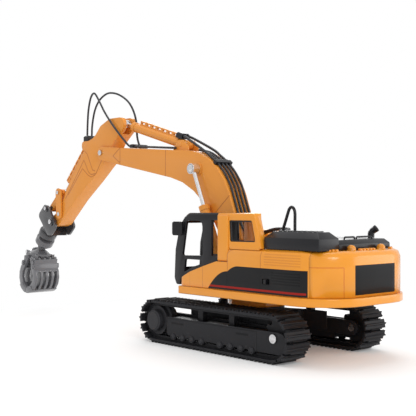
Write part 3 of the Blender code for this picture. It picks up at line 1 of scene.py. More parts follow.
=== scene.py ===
import bpy
import json
from math import radians, pi
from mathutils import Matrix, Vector

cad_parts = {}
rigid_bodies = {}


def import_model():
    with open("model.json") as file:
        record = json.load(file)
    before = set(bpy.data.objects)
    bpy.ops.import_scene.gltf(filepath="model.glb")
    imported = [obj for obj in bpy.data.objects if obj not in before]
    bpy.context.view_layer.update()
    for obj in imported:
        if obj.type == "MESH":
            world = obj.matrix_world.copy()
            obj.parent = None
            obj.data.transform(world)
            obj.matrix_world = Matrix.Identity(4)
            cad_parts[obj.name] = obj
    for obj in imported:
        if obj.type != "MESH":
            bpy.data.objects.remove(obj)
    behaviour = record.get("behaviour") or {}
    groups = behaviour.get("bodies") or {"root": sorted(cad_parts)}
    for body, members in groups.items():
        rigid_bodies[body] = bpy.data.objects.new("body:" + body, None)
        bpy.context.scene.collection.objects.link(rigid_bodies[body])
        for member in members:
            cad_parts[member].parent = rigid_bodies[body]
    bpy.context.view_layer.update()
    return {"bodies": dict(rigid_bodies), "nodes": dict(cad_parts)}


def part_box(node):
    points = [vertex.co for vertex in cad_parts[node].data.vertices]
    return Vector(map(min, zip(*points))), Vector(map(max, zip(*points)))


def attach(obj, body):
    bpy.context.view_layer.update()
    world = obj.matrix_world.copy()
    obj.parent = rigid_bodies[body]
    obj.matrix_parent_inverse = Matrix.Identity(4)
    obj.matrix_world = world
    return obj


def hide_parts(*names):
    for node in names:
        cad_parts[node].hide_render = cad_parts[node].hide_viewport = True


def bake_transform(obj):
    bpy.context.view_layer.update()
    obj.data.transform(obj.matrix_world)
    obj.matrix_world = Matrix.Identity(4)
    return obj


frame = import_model()
nodes = frame["nodes"]
mm = 0.001
ringLow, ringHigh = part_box("turntable")
slewX = (ringLow[0] + ringHigh[0]) / 2  # the slewing axis, where the machine's own x is 0


def spot(x, y, z):  # machine millimetres to the row frame
    return Vector((slewX + x * mm, y * mm, z * mm))


# camera, level, behind the machine's left rear corner
photoCamera = {"spot": (-683.0, 681.0, 154.9), "heading": -41.55, "lens": 36 * 850 / 416}
bpy.ops.object.select_all(action="DESELECT")
bpy.ops.object.camera_add(location=spot(*photoCamera["spot"]),
                          rotation=(radians(90), 0, radians(photoCamera["heading"] - 90)))
camera = bpy.context.object
camera.name = "photoCamera"
camera.data.sensor_width = 36
camera.data.lens = photoCamera["lens"]
camera.data.clip_end = 100
bpy.context.scene.camera = camera
bpy.context.scene.view_settings.view_transform = "Standard"
print("camera set")


# shader sockets with arithmetic
class Wire:
    def __init__(self, tree, socket):
        self.tree = tree
        self.socket = socket

    def node(self, kind, settings=None, values=None, out=0):
        return addNode(self.tree, kind, settings, values, out)

    def math(self, operation, *others):
        values = {0: self}
        for k, other in enumerate(others, 1):
            values[k] = other
        return self.node("ShaderNodeMath", {"operation": operation}, values)

    def __add__(self, other):
        return self.math("ADD", other)

    def __radd__(self, other):
        return self.math("ADD", other)

    def __sub__(self, other):
        return self.math("SUBTRACT", other)

    def __rsub__(self, other):
        return self.node("ShaderNodeMath", {"operation": "SUBTRACT"}, {0: other, 1: self})

    def __mul__(self, other):
        return self.math("MULTIPLY", other)

    def __rmul__(self, other):
        return self.math("MULTIPLY", other)

    def __truediv__(self, other):
        return self.math("DIVIDE", other)

    def __abs__(self):
        return self.math("ABSOLUTE")

    def step(self, low, high):  # smooth 0 to 1 between two levels
        return self.node("ShaderNodeMapRange", {"interpolation_type": "SMOOTHSTEP"},
                         {"Value": self, "From Min": low, "From Max": high})

    def least(self, other):
        return self.math("MINIMUM", other)

    def most(self, other):
        return self.math("MAXIMUM", other)


def addNode(tree, kind, settings=None, values=None, out=0):
    node = tree.nodes.new(kind)
    for key, value in (settings or {}).items():
        setattr(node, key, value)
    for key, value in (values or {}).items():
        if isinstance(value, Wire):
            tree.links.new(value.socket, node.inputs[key])
        else:
            node.inputs[key].default_value = value
    return Wire(tree, node.outputs[out]) if len(node.outputs) else None


def mixColour(fac, first, second):
    return fac.node("ShaderNodeMix", {"data_type": "RGBA"}, {0: fac, 6: first, 7: second}, 2)


def solid(rgb):
    return (*rgb, 1)


# one finish: the material, its shader, the shaded point and its axes in machine millimetres
def startPaint(name):
    material = bpy.data.materials.new(name)
    material.use_nodes = True
    tree = material.node_tree
    shader = tree.nodes["Principled BSDF"]
    point = addNode(tree, "ShaderNodeTexCoord", None, None, "Object")
    local = point.node("ShaderNodeVectorMath", {"operation": "SUBTRACT"}, {0: point, 1: (slewX, 0, 0)})
    local = local.node("ShaderNodeVectorMath", {"operation": "SCALE"}, {0: local, "Scale": 1 / mm})
    axes = [local.node("ShaderNodeSeparateXYZ", None, {0: local}, k) for k in range(3)]
    return material, shader, local, axes


def plug(shader, **sockets):
    tree = shader.id_data
    names = {"colour": "Base Color", "roughness": "Roughness", "metallic": "Metallic", "normal": "Normal",
             "specular": "Specular IOR Level", "coat": "Coat Weight", "coatRough": "Coat Roughness"}
    for key, value in sockets.items():
        if isinstance(value, Wire):
            tree.links.new(value.socket, shader.inputs[names[key]])
        else:
            shader.inputs[names[key]].default_value = value


def noise(point, scale, detail=3.0, rough=0.55):
    return point.node("ShaderNodeTexNoise", None,
                      {"Vector": point, "Scale": scale, "Detail": detail, "Roughness": rough})


def bump(height, distance, strength, facing):
    return height.node("ShaderNodeBump", None, {"Height": height, "Distance": distance, "Strength": strength,
                                                "Normal": facing})


# rounded edge normals, and a mask that is 1 along the edges
def softEdges(point, radius):
    rounded = point.node("ShaderNodeBevel", {"samples": 6}, {"Radius": radius * mm})
    flat = point.node("ShaderNodeNewGeometry", None, None, "True Normal")
    turn = point.node("ShaderNodeVectorMath", {"operation": "DOT_PRODUCT"}, {0: rounded, 1: flat}, "Value")
    return rounded, (1 - turn).step(0.03, 0.22)


# painted shade: ambient occlusion gives a mask that is 1 deep in the piece's own corners
def creviceShade(point, reach):  # 1 deep in the piece's own corners
    openness = point.node("ShaderNodeAmbientOcclusion", {"samples": 6, "only_local": True},
                          {"Distance": reach * mm}, "AO")
    return 1 - openness.step(0.3, 0.95)


def band(value, low, high, soft=0.12):  # 1 between two stations
    return value.step(low - soft, low + soft) * (1 - value.step(high - soft, high + soft))


def line(value, at, half=0.3, soft=0.15):  # 1 on a thin line
    return 1 - abs(value - at).step(half, half + soft)


def stroke(axes, start, end, half=0.3, soft=0.15):  # 1 on a straight line between two points of the side
    x, y, z = axes
    (x0, z0), (x1, z1) = start, end
    span = ((x1 - x0) ** 2 + (z1 - z0) ** 2) ** 0.5
    along = ((x - x0) * ((x1 - x0) / span) + (z - z0) * ((z1 - z0) / span))
    across = ((x - x0) * ((z1 - z0) / span) - (z - z0) * ((x1 - x0) / span))
    return (1 - abs(across).step(half, half + soft)) * band(along, 0.0, span, soft)


def fromAxle(axes, centre):  # distance from a cross axle
    x, y, z = axes
    away = (x - centre[0]) * (x - centre[0]) + (z - centre[1]) * (z - centre[1])
    return away.math("SQRT")


# moulded plastic: drift of tone, fine grain, scuffs, edges lightened as painted highlight, painted shade in its
# own corners; marks dent and darken, patches repaint
def mouldedPlastic(name, look, marks=None, patches=()):
    material, shader, point, axes = startPaint(name)
    drift = noise(point, 0.018, 2.0)
    grain = noise(point, look["grain"], 2.0)
    scuff = noise(point, 0.35, 5.0, 0.7).step(0.60, 0.74)
    rounded, edge = softEdges(point, look["edge"])
    colour = mixColour(drift, solid(look["deep"]), solid(look["pale"]))
    # scuffs are real rubbing; the lightened edges are painted highlight along every edge, patchy with the scuffs
    wearAndHighlight = (scuff * look["scuff"]).most(edge * (0.4 + scuff * 0.6) * look["edgeWearAndHighlight"])
    colour = mixColour(wearAndHighlight, colour, solid(look["worn"]))
    # painted shade: the colour darkens towards the groove colour deep in the piece's own corners
    dust = creviceShade(point, look["crevice"])
    colour = mixColour(dust * look["dust"], colour, solid(look["groove"]))
    rough = look["rough"] + (drift - 0.5) * 0.12 + scuff * 0.08 + dust * 0.2
    height = grain * look["grainDepth"]
    if marks:
        groove = marks(point, axes)
        colour = mixColour(groove * look["seam"], colour, solid(look["groove"]))
        height = height - groove * 0.5
    coat = (1 - scuff * 0.6) * look["coat"]
    for paint in patches:
        mask, tint, patchRough = paint(point, axes)
        colour = mixColour(mask, colour, tint)
        rough = rough + mask * (patchRough - look["rough"])
        coat = coat * (1 - mask * 0.85)
    plug(shader, colour=colour, roughness=rough, normal=bump(height, 0.0006, 0.8, rounded),
         specular=look["specular"], coat=coat, coatRough=look["coatRough"])
    return material


# in each look the light edge colour also gives the painted highlight along edges, and the corner darkening is
# painted shade
yellowLook = {"deep": (0.80, 0.288, 0.014), "pale": (0.86, 0.330, 0.020), "worn": (0.90, 0.42, 0.06),
              "groove": (0.46, 0.12, 0.008), "seam": 0.75, "scuff": 0.25, "rough": 0.30, "grain": 2.2,
              "grainDepth": 0.03, "specular": 0.2, "coat": 0.75, "coatRough": 0.16, "edge": 1.4, "edgeWearAndHighlight": 0.5,
              "crevice": 7.0, "dust": 0.45}
boomLook = dict(yellowLook, deep=(0.76, 0.275, 0.030), pale=(0.82, 0.315, 0.040), rough=0.40, coat=0.5,
                coatRough=0.24, edge=1.2)
blackLook = {"deep": (0.007, 0.007, 0.009), "pale": (0.012, 0.012, 0.015), "worn": (0.085, 0.085, 0.093),
             "groove": (0.003, 0.003, 0.004), "seam": 0.8, "scuff": 0.2, "rough": 0.30, "grain": 1.6,
             "grainDepth": 0.05, "specular": 0.18, "coat": 0.3, "coatRough": 0.2, "edge": 0.9, "edgeWearAndHighlight": 0.75,
             "crevice": 6.0, "dust": 0.8}
trackLook = dict(blackLook, deep=(0.012, 0.012, 0.014), pale=(0.024, 0.024, 0.028), worn=(0.14, 0.14, 0.15),
                 rough=0.50, scuff=0.35, specular=0.16, coat=0.08, coatRough=0.35, edge=0.6)
wheelLook = dict(trackLook, deep=(0.030, 0.030, 0.034), pale=(0.044, 0.044, 0.049))
greyLook = dict(blackLook, deep=(0.100, 0.099, 0.108), pale=(0.145, 0.144, 0.155), worn=(0.40, 0.40, 0.42),
                groove=(0.03, 0.03, 0.032), rough=0.30, scuff=0.16, specular=0.4, coat=0.8, coatRough=0.1)
collarLook = dict(greyLook, deep=(0.085, 0.084, 0.092), pale=(0.125, 0.124, 0.133))
hangerLook = dict(greyLook, deep=(0.036, 0.036, 0.040), pale=(0.060, 0.060, 0.065), worn=(0.22, 0.22, 0.235))


# turned and plated metal: drawn lines, a little tarnish, turned rings about each cross axle
def platedSteel(name, look, axles=()):
    material, shader, point, axes = startPaint(name)
    drawn = point.node("ShaderNodeMapping", None, {"Vector": point, "Scale": look["lines"]})
    fine = noise(drawn, 1.0, 3.0)
    tarnish = noise(point, 0.12, 4.0)
    rounded, edge = softEdges(point, 0.4)
    colour = mixColour(tarnish, solid(look["dull"]), solid(look["bright"]))
    height = fine * 0.04
    for centre, radii in axles:
        away = fromAxle(axes, centre)
        for radius in radii:
            ring = line(away, radius, 0.22, 0.2)
            colour = mixColour(ring * 0.75, colour, solid(look["shadow"]))
            height = height - ring * 0.5
    rough = look["rough"] + fine * 0.10 + tarnish * 0.08
    plug(shader, colour=colour, roughness=rough, metallic=1.0, normal=bump(height, 0.0004, 0.5, rounded))
    return material


steelLook = {"bright": (0.84, 0.84, 0.85), "dull": (0.60, 0.60, 0.62), "shadow": (0.10, 0.10, 0.11),
             "rough": 0.16, "lines": (0.4, 9.0, 0.4)}
rodLook = dict(steelLook, bright=(0.90, 0.90, 0.91), dull=(0.72, 0.72, 0.73), lines=(3.0, 3.0, 0.5))


# soft rubber of the hoses: matt bloom with a slight gloss where handled
def hoseRubber(name, look):
    material, shader, point, axes = startPaint(name)
    bloom = noise(point, 0.2, 4.0)
    grain = noise(point, 3.0, 2.0)
    colour = mixColour(bloom, solid(look["deep"]), solid(look["pale"]))
    facing = point.node("ShaderNodeNewGeometry", None, None, "Normal")
    plug(shader, colour=colour, roughness=look["rough"] + bloom * 0.15,
         normal=bump(grain * 0.08, 0.0005, 0.6, facing), specular=0.45)
    return material


hoseLook = {"deep": (0.014, 0.014, 0.017), "pale": (0.032, 0.032, 0.037), "rough": 0.28}
print("finishes ready")


# side of the shell: dark printed field with an arched front, red stripe along its foot, two sets of slots
sidePanel = {"low": 68.6, "high": 94.3, "rear": -136.0, "tip": 5.0, "seamX": -27.0, "reach": 55.2,
             "stripe": (70.6, 72.7), "black": (0.008, 0.008, 0.009), "slot": (0.002, 0.002, 0.003),
             "red": (0.34, 0.014, 0.009)}
louvres = {"x": (-129.0, -81.0), "yellow": (98.0, 2.6, 5), "blackX": (-129.0, -91.0), "black": (79.6, 2.7, 5)}


def louvreSlots(axes, ends, start, pitch, count):
    x, y, z = axes
    slots = line(z, start, 0.4, 0.45)
    for k in range(1, count):
        slots = slots.most(line(z, start + k * pitch, 0.4, 0.45))
    return slots * band(x, ends[0], ends[1], 0.3) * abs(y).step(sidePanel["reach"], sidePanel["reach"] + 0.4)


def panelMask(axes):
    x, y, z = axes
    s = sidePanel
    front = ((x - s["seamX"]) / (s["tip"] - s["seamX"])).most(0.0)  # 0 at the seam, 1 at the tip
    back = ((s["seamX"] - x) / 16.0).least(1.0).most(0.0)
    top = s["high"] - 6.0 - front * front * 21.5 + back * (2 - back) * 6.0
    mask = (1 - (z - top).step(-0.15, 0.15)) * z.step(s["low"] - 0.15, s["low"] + 0.15)
    return mask * band(x, s["rear"], s["tip"], 0.15) * abs(y).step(s["reach"], s["reach"] + 0.4)


def panelBlack(point, axes):
    slots = louvreSlots(axes, louvres["blackX"], *louvres["black"])
    seams = line(axes[0], -76.0, 0.3).most(line(axes[0], sidePanel["seamX"], 0.3))
    tint = mixColour(slots.most(seams), solid(sidePanel["black"]), solid(sidePanel["slot"]))
    return panelMask(axes), tint, 0.52


def panelStripe(point, axes):
    x, y, z = axes
    mask = panelMask(axes) * band(z, *sidePanel["stripe"]) * band(x, -134.5, 3.0)
    return mask, solid(sidePanel["red"]), 0.42


def shellMarks(point, axes):
    x, y, z = axes
    side = abs(y).step(sidePanel["reach"], sidePanel["reach"] + 0.4)
    corner = abs(fromAxle(axes, (-33.0, 105.0)) - 6.0)  # rounded top corner of the door seam
    corner = (1 - corner.step(0.3, 0.45)) * x.step(-33.1, -32.9) * z.step(104.9, 105.1)
    seams = (line(x, -27.0) * (1 - z.step(105.0, 105.2))).most(corner)
    seams = seams.most(line(x, -76.0) * (1 - z.step(111.0, 112.0)))
    seams = seams.most(line(x, 12.5, 0.2) * (1 - z.step(90.0, 91.0)))
    seams = seams.most(line(x, 34.0, 0.15) * (1 - z.step(83.0, 84.0)) * 0.6)
    slots = louvreSlots(axes, louvres["x"], *louvres["yellow"]) * 0.4
    return (seams * side).most(slots).most(louvreSlots(axes, louvres["blackX"], *louvres["black"]))


# counterweight: bare dark plate on its back, door seam on its left corner
rearPlate = {"half": 31.5, "z": (70.5, 99.5), "black": (0.008, 0.008, 0.009), "door": (44.0, 97.6)}


def rearPanel(point, axes):
    x, y, z = axes
    mask = (1 - x.step(-158.0, -157.5)) * band(y, -rearPlate["half"], rearPlate["half"], 0.15)
    return mask * band(z, *rearPlate["z"], 0.15), solid(rearPlate["black"]), 0.62


def weightMarks(point, axes):
    x, y, z = axes
    doorY, doorZ = rearPlate["door"]
    door = (line(z, doorZ, 0.3) * y.step(doorY - 0.2, doorY + 0.2))
    return door.most(line(y, doorY, 0.3) * (1 - z.step(doorZ - 0.2, doorZ + 0.2)) * (1 - x.step(-140.0, -139.5)))


# dress the CAD nodes
def dress(material, *names):
    for name in names:
        slots = nodes[name].data.materials
        slots.clear()
        slots.append(material)


weightLook = dict(yellowLook, groove=(0.66, 0.13, 0.008))
dress(mouldedPlastic("shellYellow", yellowLook, shellMarks, (panelBlack, panelStripe)), "body_shell")
dress(mouldedPlastic("weightYellow", weightLook, weightMarks, (rearPanel,)), "counterweight")
plainYellow = mouldedPlastic("plainYellow", yellowLook)
dress(plainYellow, "deck_plate", "right_tank", "cab_shell", "boom_bracket")
# the turntable is the body's yellow made darker: painted shade under the deck
shadedYellowLook = dict(yellowLook, deep=(0.46, 0.135, 0.008), pale=(0.60, 0.20, 0.014), rough=0.24)
dress(mouldedPlastic("skirtShadedYellow", shadedYellowLook), "turntable")


# boom and stick: weld lines, wedge plate at the nose, stepped relief on the stick
boomLines = {"weld": 150.0, "nose": 247.3, "wedge": ((263.5, 225.3), (247.3, 235.3), (247.3, 215.2)),
             "plate": ((30.0, 171.3), (56.0, 149.9))}
stickLines = {"outer": ((388.0, 168.0), (339.0, 223.2), (327.4, 205.7), (321.0, 202.0), (308.7, 203.0),
                        (294.0, 222.0)),
              "lower": ((380.4, 174.0), (342.8, 211.2), (328.7, 201.5), (321.0, 198.5), (309.0, 201.5)),
              "inner": ((338.0, 236.0), (330.6, 231.3), (317.4, 208.2), (311.0, 206.6))}


def boomMarks(point, axes):
    x, y, z = axes
    marks = line(x, boomLines["weld"], 0.45, 0.3) * z.step(190.0, 191.0)
    marks = marks.most(line(x, boomLines["nose"], 0.5, 0.4))
    tip, upper, lower = boomLines["wedge"]
    marks = marks.most(stroke(axes, tip, upper, 0.5, 0.4)).most(stroke(axes, tip, lower, 0.5, 0.4))
    marks = marks.most(stroke(axes, *boomLines["plate"], 0.45, 0.3))
    return marks * abs(y).step(13.5, 13.8)


def stickMarks(point, axes):
    marks = None
    for run in stickLines.values():
        for start, end in zip(run, run[1:]):
            groove = stroke(axes, start, end, 0.5, 0.4)
            marks = groove if marks is None else marks.most(groove)
    return marks * abs(axes[1]).step(10.5, 10.8)


dress(mouldedPlastic("boomYellow", boomLook, boomMarks), "boom")
dress(mouldedPlastic("stickYellow", boomLook, stickMarks), "stick")
dress(mouldedPlastic("armYellow", boomLook), "arm_barrel", "tilt_barrel", "rocker", "tilt_link",
      "left_boom_barrel", "right_boom_barrel")

# undercarriage: moulded slots and seams on the side frames, turned rings on the front wheels
frameLines = {"slots": ((44.7, 66.1), (-59.0, -40.0)), "slotZ": 24.6, "seams": (-71.0, 75.0), "top": 29.4}


def frameMarks(point, axes):
    x, y, z = axes
    marks = line(x, frameLines["seams"][0]).most(line(x, frameLines["seams"][1]))
    marks = (marks * z.step(9.0, 10.0)).most(line(z, frameLines["top"], 0.2) * band(x, *frameLines["seams"]))
    for ends in frameLines["slots"]:
        marks = marks.most(band(x, *ends, 0.3) * line(z, frameLines["slotZ"], 0.9, 0.2))
    return marks * abs(y).step(70.5, 71.0)


wheelLow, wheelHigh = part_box("left_idler")
wheelSpot = ((wheelLow[0] + wheelHigh[0] - 2 * slewX) / 2 / mm, (wheelLow[2] + wheelHigh[2]) / 2 / mm)


def wheelMarks(point, axes):
    away = fromAxle(axes, wheelSpot)
    return ((away * 3.2).math("SINE") * 0.5 + 0.5) * (1 - away.step(11.2, 11.6)) * 0.5


blackPlastic = mouldedPlastic("blackPlastic", blackLook)
dress(blackPlastic, "engine_hood", "rear_hood", "exhaust_pipe", "handrail", "cab_front_frame", "cab_mirror",
      "power_switch", "hose_clamp", "hose_block", "hose_clip", "hose_connector")
dress(mouldedPlastic("frameBlack", trackLook, frameMarks), "left_track_frame", "right_track_frame")
dress(mouldedPlastic("idlerBlack", wheelLook, wheelMarks), "left_idler", "right_idler")
wheelBlack = mouldedPlastic("wheelBlack", wheelLook)
dress(mouldedPlastic("trackBlack", trackLook), "left_track", "right_track", "chassis_frame",
      "left_sprocket", "right_sprocket")
grappleGrey = mouldedPlastic("grappleGrey", greyLook)
dress(grappleGrey, "front_jaw", "rear_jaw")
dress(mouldedPlastic("collarGrey", collarLook), "swing_collar", "grapple_head", "grab_barrel")
hangerBlack = mouldedPlastic("hangerBlack", hangerLook)
dress(hangerBlack, "hanger")
pinSteel = platedSteel("pinSteel", steelLook)
dress(pinSteel, "left_drive_axle", "right_drive_axle", "boom_foot_pin", "stick_pin", "tip_pin")
liftEye = (88.0, 201.7)
dress(platedSteel("liftChrome", rodLook, ((liftEye, (3.2, 5.2)),)), "left_boom_rod", "right_boom_rod")
dress(platedSteel("rodChrome", rodLook), "arm_rod", "tilt_rod", "grab_rod")
print("nodes dressed")


# hoses, along the routes of their solids
hoses = {"radius": 1.4, "rib": 1.8, "valley": 1.32, "ribPitch": 2.8, "lanes": (-9.0, -3.0, 3.0, 9.0),
         "blockLane": 3.4}
climb = [(21.0, 144.18), (33.05, 174.89), (39.06, 186.37), (48.05, 198.3), (58.98, 208.49)]
rise = [(63.82, 212.0), (73.91, 218.52), (85.81, 225.78)]
toBlock = [(119.44, 241.54), (129.06, 244.25)]
tail = [(79.64, 220.41), (98.33, 225.6)]
freeRoutes = {
    "leftLoop": [(133.0, 11.2, 229.42), (183.0, 11.2, 233.23), (217.0, 11.2, 235.81), (229.0, 11.2, 236.73),
                 (239, 13.5, 245.5), (250, 14, 255), (265, 14, 268), (283, 14, 286), (300, 12, 304),
                 (314, 10, 315.5), (326, 8, 311), (335, 6, 294), (339.5, 4.5, 274), (341, 4, 258.3)],
    "rightLoop": [(225.9, -8, 236.12), (231, -8, 236.72), (235, -8, 242), (238.5, -8, 252), (239.5, -8, 268),
                  (246, -8, 285), (258, -8, 299.5), (276, -8, 310), (294, -8, 315.5), (311, -8, 315.8),
                  (327, -7, 308), (337, -6, 294), (341, -4.5, 274), (341.5, -4, 258.3)],
    "deckHose1": [(20.82, 3, 143.71), (19.0, 3, 139.05), (9, 4, 125.5), (-6, 7, 124), (-28, 11, 129),
                  (-50, 17.5, 132.5), (-66, 20.5, 132.5), (-75, 31, 131.5), (-77.6, 40, 129.3)],
    "deckHose2": [(20.82, 9, 143.71), (19.0, 9, 139.05), (9, 10, 125.5), (-6, 13, 124), (-28, 17, 129),
                  (-50, 22.5, 132.5), (-66, 26.5, 132.5), (-75, 40, 131.5), (-77.6, 49, 129.3)]}


def smoothRun(points, spacing):  # even points of a smooth curve through a few
    knots = [Vector(p) for p in points]
    knots = [2 * knots[0] - knots[1]] + knots + [2 * knots[-1] - knots[-2]]
    dense = []
    for i in range(1, len(knots) - 2):
        a, b, c, d = knots[i - 1:i + 3]
        for k in range(24):
            t = k / 24
            dense.append(0.5 * (2 * b + (c - a) * t + (2 * a - 5 * b + 4 * c - d) * t * t
                                + (3 * b - a - 3 * c + d) * t ** 3))
    dense.append(knots[-2])
    length = sum((b - a).length for a, b in zip(dense, dense[1:]))
    count = max(2, round(length / spacing))
    even = [dense[0]]
    gone = 0.0
    for a, b in zip(dense, dense[1:]):
        hop = (b - a).length
        while len(even) < count and gone + hop >= len(even) * length / count:
            even.append(a.lerp(b, (len(even) * length / count - gone) / hop))
        gone += hop
    return even + [dense[-1]]


rubber = hoseRubber("hoseBlack", hoseLook)


def tubeThrough(name, run, radii, material):  # round mesh tube, one radius a point
    curve = bpy.data.curves.new(name, "CURVE")
    curve.dimensions = "3D"
    curve.bevel_depth = mm
    curve.bevel_resolution = 4
    curve.use_fill_caps = True
    spline = curve.splines.new("POLY")
    spline.points.add(len(run) - 1)
    for end, point, radius in zip(spline.points, run, radii):
        end.co = (*spot(*point), 1)
        end.radius = radius
    tube = bpy.data.objects.new(name, curve)
    bpy.context.scene.collection.objects.link(tube)
    curve.materials.append(material)
    bpy.ops.object.select_all(action="DESELECT")
    tube.select_set(True)
    bpy.context.view_layer.objects.active = tube
    bpy.ops.object.convert(target="MESH")
    bpy.ops.object.mode_set(mode="EDIT")
    bpy.ops.mesh.select_all(action="SELECT")
    bpy.ops.mesh.remove_doubles(threshold=0.000002)
    bpy.ops.mesh.normals_make_consistent(inside=False)
    bpy.ops.object.mode_set(mode="OBJECT")
    bpy.ops.object.shade_smooth_by_angle(angle=radians(50))
    return tube


def hoseAlong(name, route, ribsFrom=None):  # ribs from a share of the run onwards
    ribbed = ribsFrom is not None
    run = smoothRun(route, hoses["ribPitch"] / 4 if ribbed else 3.0)
    middle = (hoses["valley"] + hoses["rib"]) / 2
    swell = (hoses["valley"], middle, hoses["rib"], middle)
    radii = []
    for k in range(len(run)):
        inside = ribbed and len(run) * ribsFrom < k and 3 < k < len(run) - 5
        radii.append(swell[k % 4] if inside else hoses["radius"])
    hose = tubeThrough(name, run, radii, rubber)
    return hose, [spot(*point) for point in run]


for k, lane in enumerate(hoses["lanes"], 1):
    outer = abs(lane) > 5
    path = [(x, lane, z) for x, z in climb + (rise if outer else tail)]
    if outer:
        side = hoses["blockLane"] if lane > 0 else -hoses["blockLane"]
        path += [(toBlock[0][0], side * 1.5, toBlock[0][1]), (toBlock[1][0], side, toBlock[1][1])]
    hose, run = hoseAlong("boomHose%d" % k, path, 0.46 if outer else None)
    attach(hose, "boom_body")
    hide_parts("boom_hose_%d" % k)
cordFacts = {"leftLoop": ("left_loop_hose", "stick_body", 4, None),
             "rightLoop": ("right_loop_hose", "stick_body", 1, None),
             "deckHose1": ("deck_hose_1", "house", 1, 0.0),
             "deckHose2": ("deck_hose_2", "house", 1, 0.0)}
for name, (node, farBody, free, ribs) in cordFacts.items():
    route = freeRoutes[name]
    hose, run = hoseAlong(name, route, ribs)
    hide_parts(node)
    spot(*route[free])
    spot(*route[-1])
    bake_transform(hose)
    spot(*route[0])
print("hoses laid")


# small pieces modelled one by one
def choose(piece, test):  # faces by centre and normal, ready for edit mode
    bpy.ops.object.mode_set(mode="OBJECT")
    bpy.context.tool_settings.mesh_select_mode = (False, False, True)
    for item in list(piece.data.vertices) + list(piece.data.edges):
        item.select = False
    for face in piece.data.polygons:
        face.select = test(face.center, face.normal)
    bpy.ops.object.mode_set(mode="EDIT")


def chooseCorners(piece, test):  # vertices by place
    bpy.ops.object.mode_set(mode="OBJECT")
    bpy.context.tool_settings.mesh_select_mode = (True, False, False)
    for item in list(piece.data.polygons) + list(piece.data.edges):
        item.select = False
    for corner in piece.data.vertices:
        corner.select = test(corner.co)
    bpy.ops.object.mode_set(mode="EDIT")


def finishPiece(piece, name, material, body, bevel=0.0):
    bpy.ops.object.mode_set(mode="OBJECT")
    piece.name = name
    piece.data.materials.clear()
    piece.data.materials.append(material)
    if bevel:
        soften = piece.modifiers.new("soften", "BEVEL")
        soften.width = bevel * mm
        soften.segments = 3
        soften.limit_method = "ANGLE"
        soften.angle_limit = radians(32)
        bpy.ops.object.modifier_apply(modifier="soften")
    bpy.ops.object.transform_apply(location=True, rotation=True, scale=True)
    bpy.ops.object.shade_smooth_by_angle(angle=radians(40))
    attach(piece, body)


# moulded skins: each stands for one node, with its edges rounded as a mould leaves them
# width in mm, 0 only smooths
skins = {"body_yellow": {"counterweight": 0.0, "body_shell": 1.4, "deck_plate": 1.8, "cab_shell": 1.3,
                         "right_tank": 1.6, "boom": 1.2, "stick": 1.2},
         "black_plastic": {"engine_hood": 0.9, "rear_hood": 0.9, "cab_front_frame": 0.9},
         "grapple_grey": {"hanger": 0.6, "swing_collar": 0.7, "grapple_head": 0.5, "front_jaw": 0.5,
                          "rear_jaw": 0.5}}


def mouldedSkin(node, width):
    source = nodes[node]
    body = next(name for name, rider in frame["bodies"].items() if rider == source.parent)
    bpy.ops.object.select_all(action="DESELECT")
    skin = source.copy()
    skin.data = source.data.copy()
    skin.parent = None
    bpy.context.scene.collection.objects.link(skin)
    skin.select_set(True)
    bpy.context.view_layer.objects.active = skin
    bpy.ops.object.mode_set(mode="EDIT")
    bpy.ops.mesh.select_all(action="SELECT")
    bpy.ops.mesh.remove_doubles(threshold=0.00001)
    if width:
        bpy.ops.mesh.dissolve_limited(angle_limit=radians(1.0))
    bpy.ops.mesh.normals_make_consistent(inside=False)
    words = node.split("_")
    name = words[0] + "".join(word.capitalize() for word in words[1:]) + "Skin"
    finishPiece(skin, name, source.data.materials[0], body, width)
    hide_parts(node)


for slot, widths in skins.items():
    for node, width in widths.items():
        mouldedSkin(node, width)
print("skins moulded")

# pin heads: rim, groove and raised middle, on both ends of the linkage pins
pinHeads = {"rise": 1.2, "sink": 0.25, "rim": 0.24, "groove": 0.2, "dish": 0.4, "hub": 0.2, "crown": 0.2,
            "ends": {"rockerEye": (404.0, 177.7, 14.9, 2.7, "rocker_body"),
                     "rockerPivot": (402.3, 146.0, 14.1, 2.9, "rocker_body"),
                     "linkEye": (431.4, 154.4, 19.4, 2.8, "hanger_body"),
                     "stickPin": (293.0, 231.0, 15.2, 3.6, "boom_body"),
                     "tipPin": (418.0, 134.5, 19.4, 3.5, "hanger_body"),
                     "grabEye": (507.4, 86.4, 7.0, 2.4, "front_jaw_body")}}


def pinHead(name, x, z, y, radius, body):
    out = 1 if y > 0 else -1
    facts = pinHeads
    bpy.ops.object.select_all(action="DESELECT")
    bpy.ops.mesh.primitive_cylinder_add(vertices=32, radius=radius * mm, depth=facts["rise"] * mm,
                                        location=spot(x, y + out * (facts["rise"] / 2 - facts["sink"]), z),
                                        rotation=(radians(90), 0, 0))
    head = bpy.context.object
    bpy.ops.object.transform_apply(location=True, rotation=True, scale=True)
    choose(head, lambda centre, normal: normal.y * out > 0.9)
    bpy.ops.mesh.inset(thickness=radius * facts["rim"] * mm)
    bpy.ops.transform.translate(value=(0, -out * facts["dish"] * mm, 0))
    bpy.ops.mesh.inset(thickness=radius * facts["groove"] * mm)
    bpy.ops.transform.translate(value=(0, out * facts["dish"] * mm, 0))
    bpy.ops.mesh.inset(thickness=radius * facts["hub"] * mm)
    bpy.ops.transform.translate(value=(0, out * facts["crown"] * mm, 0))
    finishPiece(head, name, pinSteel, body, 0.12)


for name, (x, z, y, radius, body) in pinHeads["ends"].items():
    for side, label in ((1, "Left"), (-1, "Right")):
        pinHead(name + "Head" + label, x, z, side * y, radius, body)


# round bosses on the hanger's cheeks, under the heads of its two pins
bosses = {"linkBoss": (431.4, 154.4, 5.4), "tipBoss": (418.0, 134.5, 6.2), "seat": 17.2, "face": 19.5, "step": 0.9,
          "dish": 0.5}


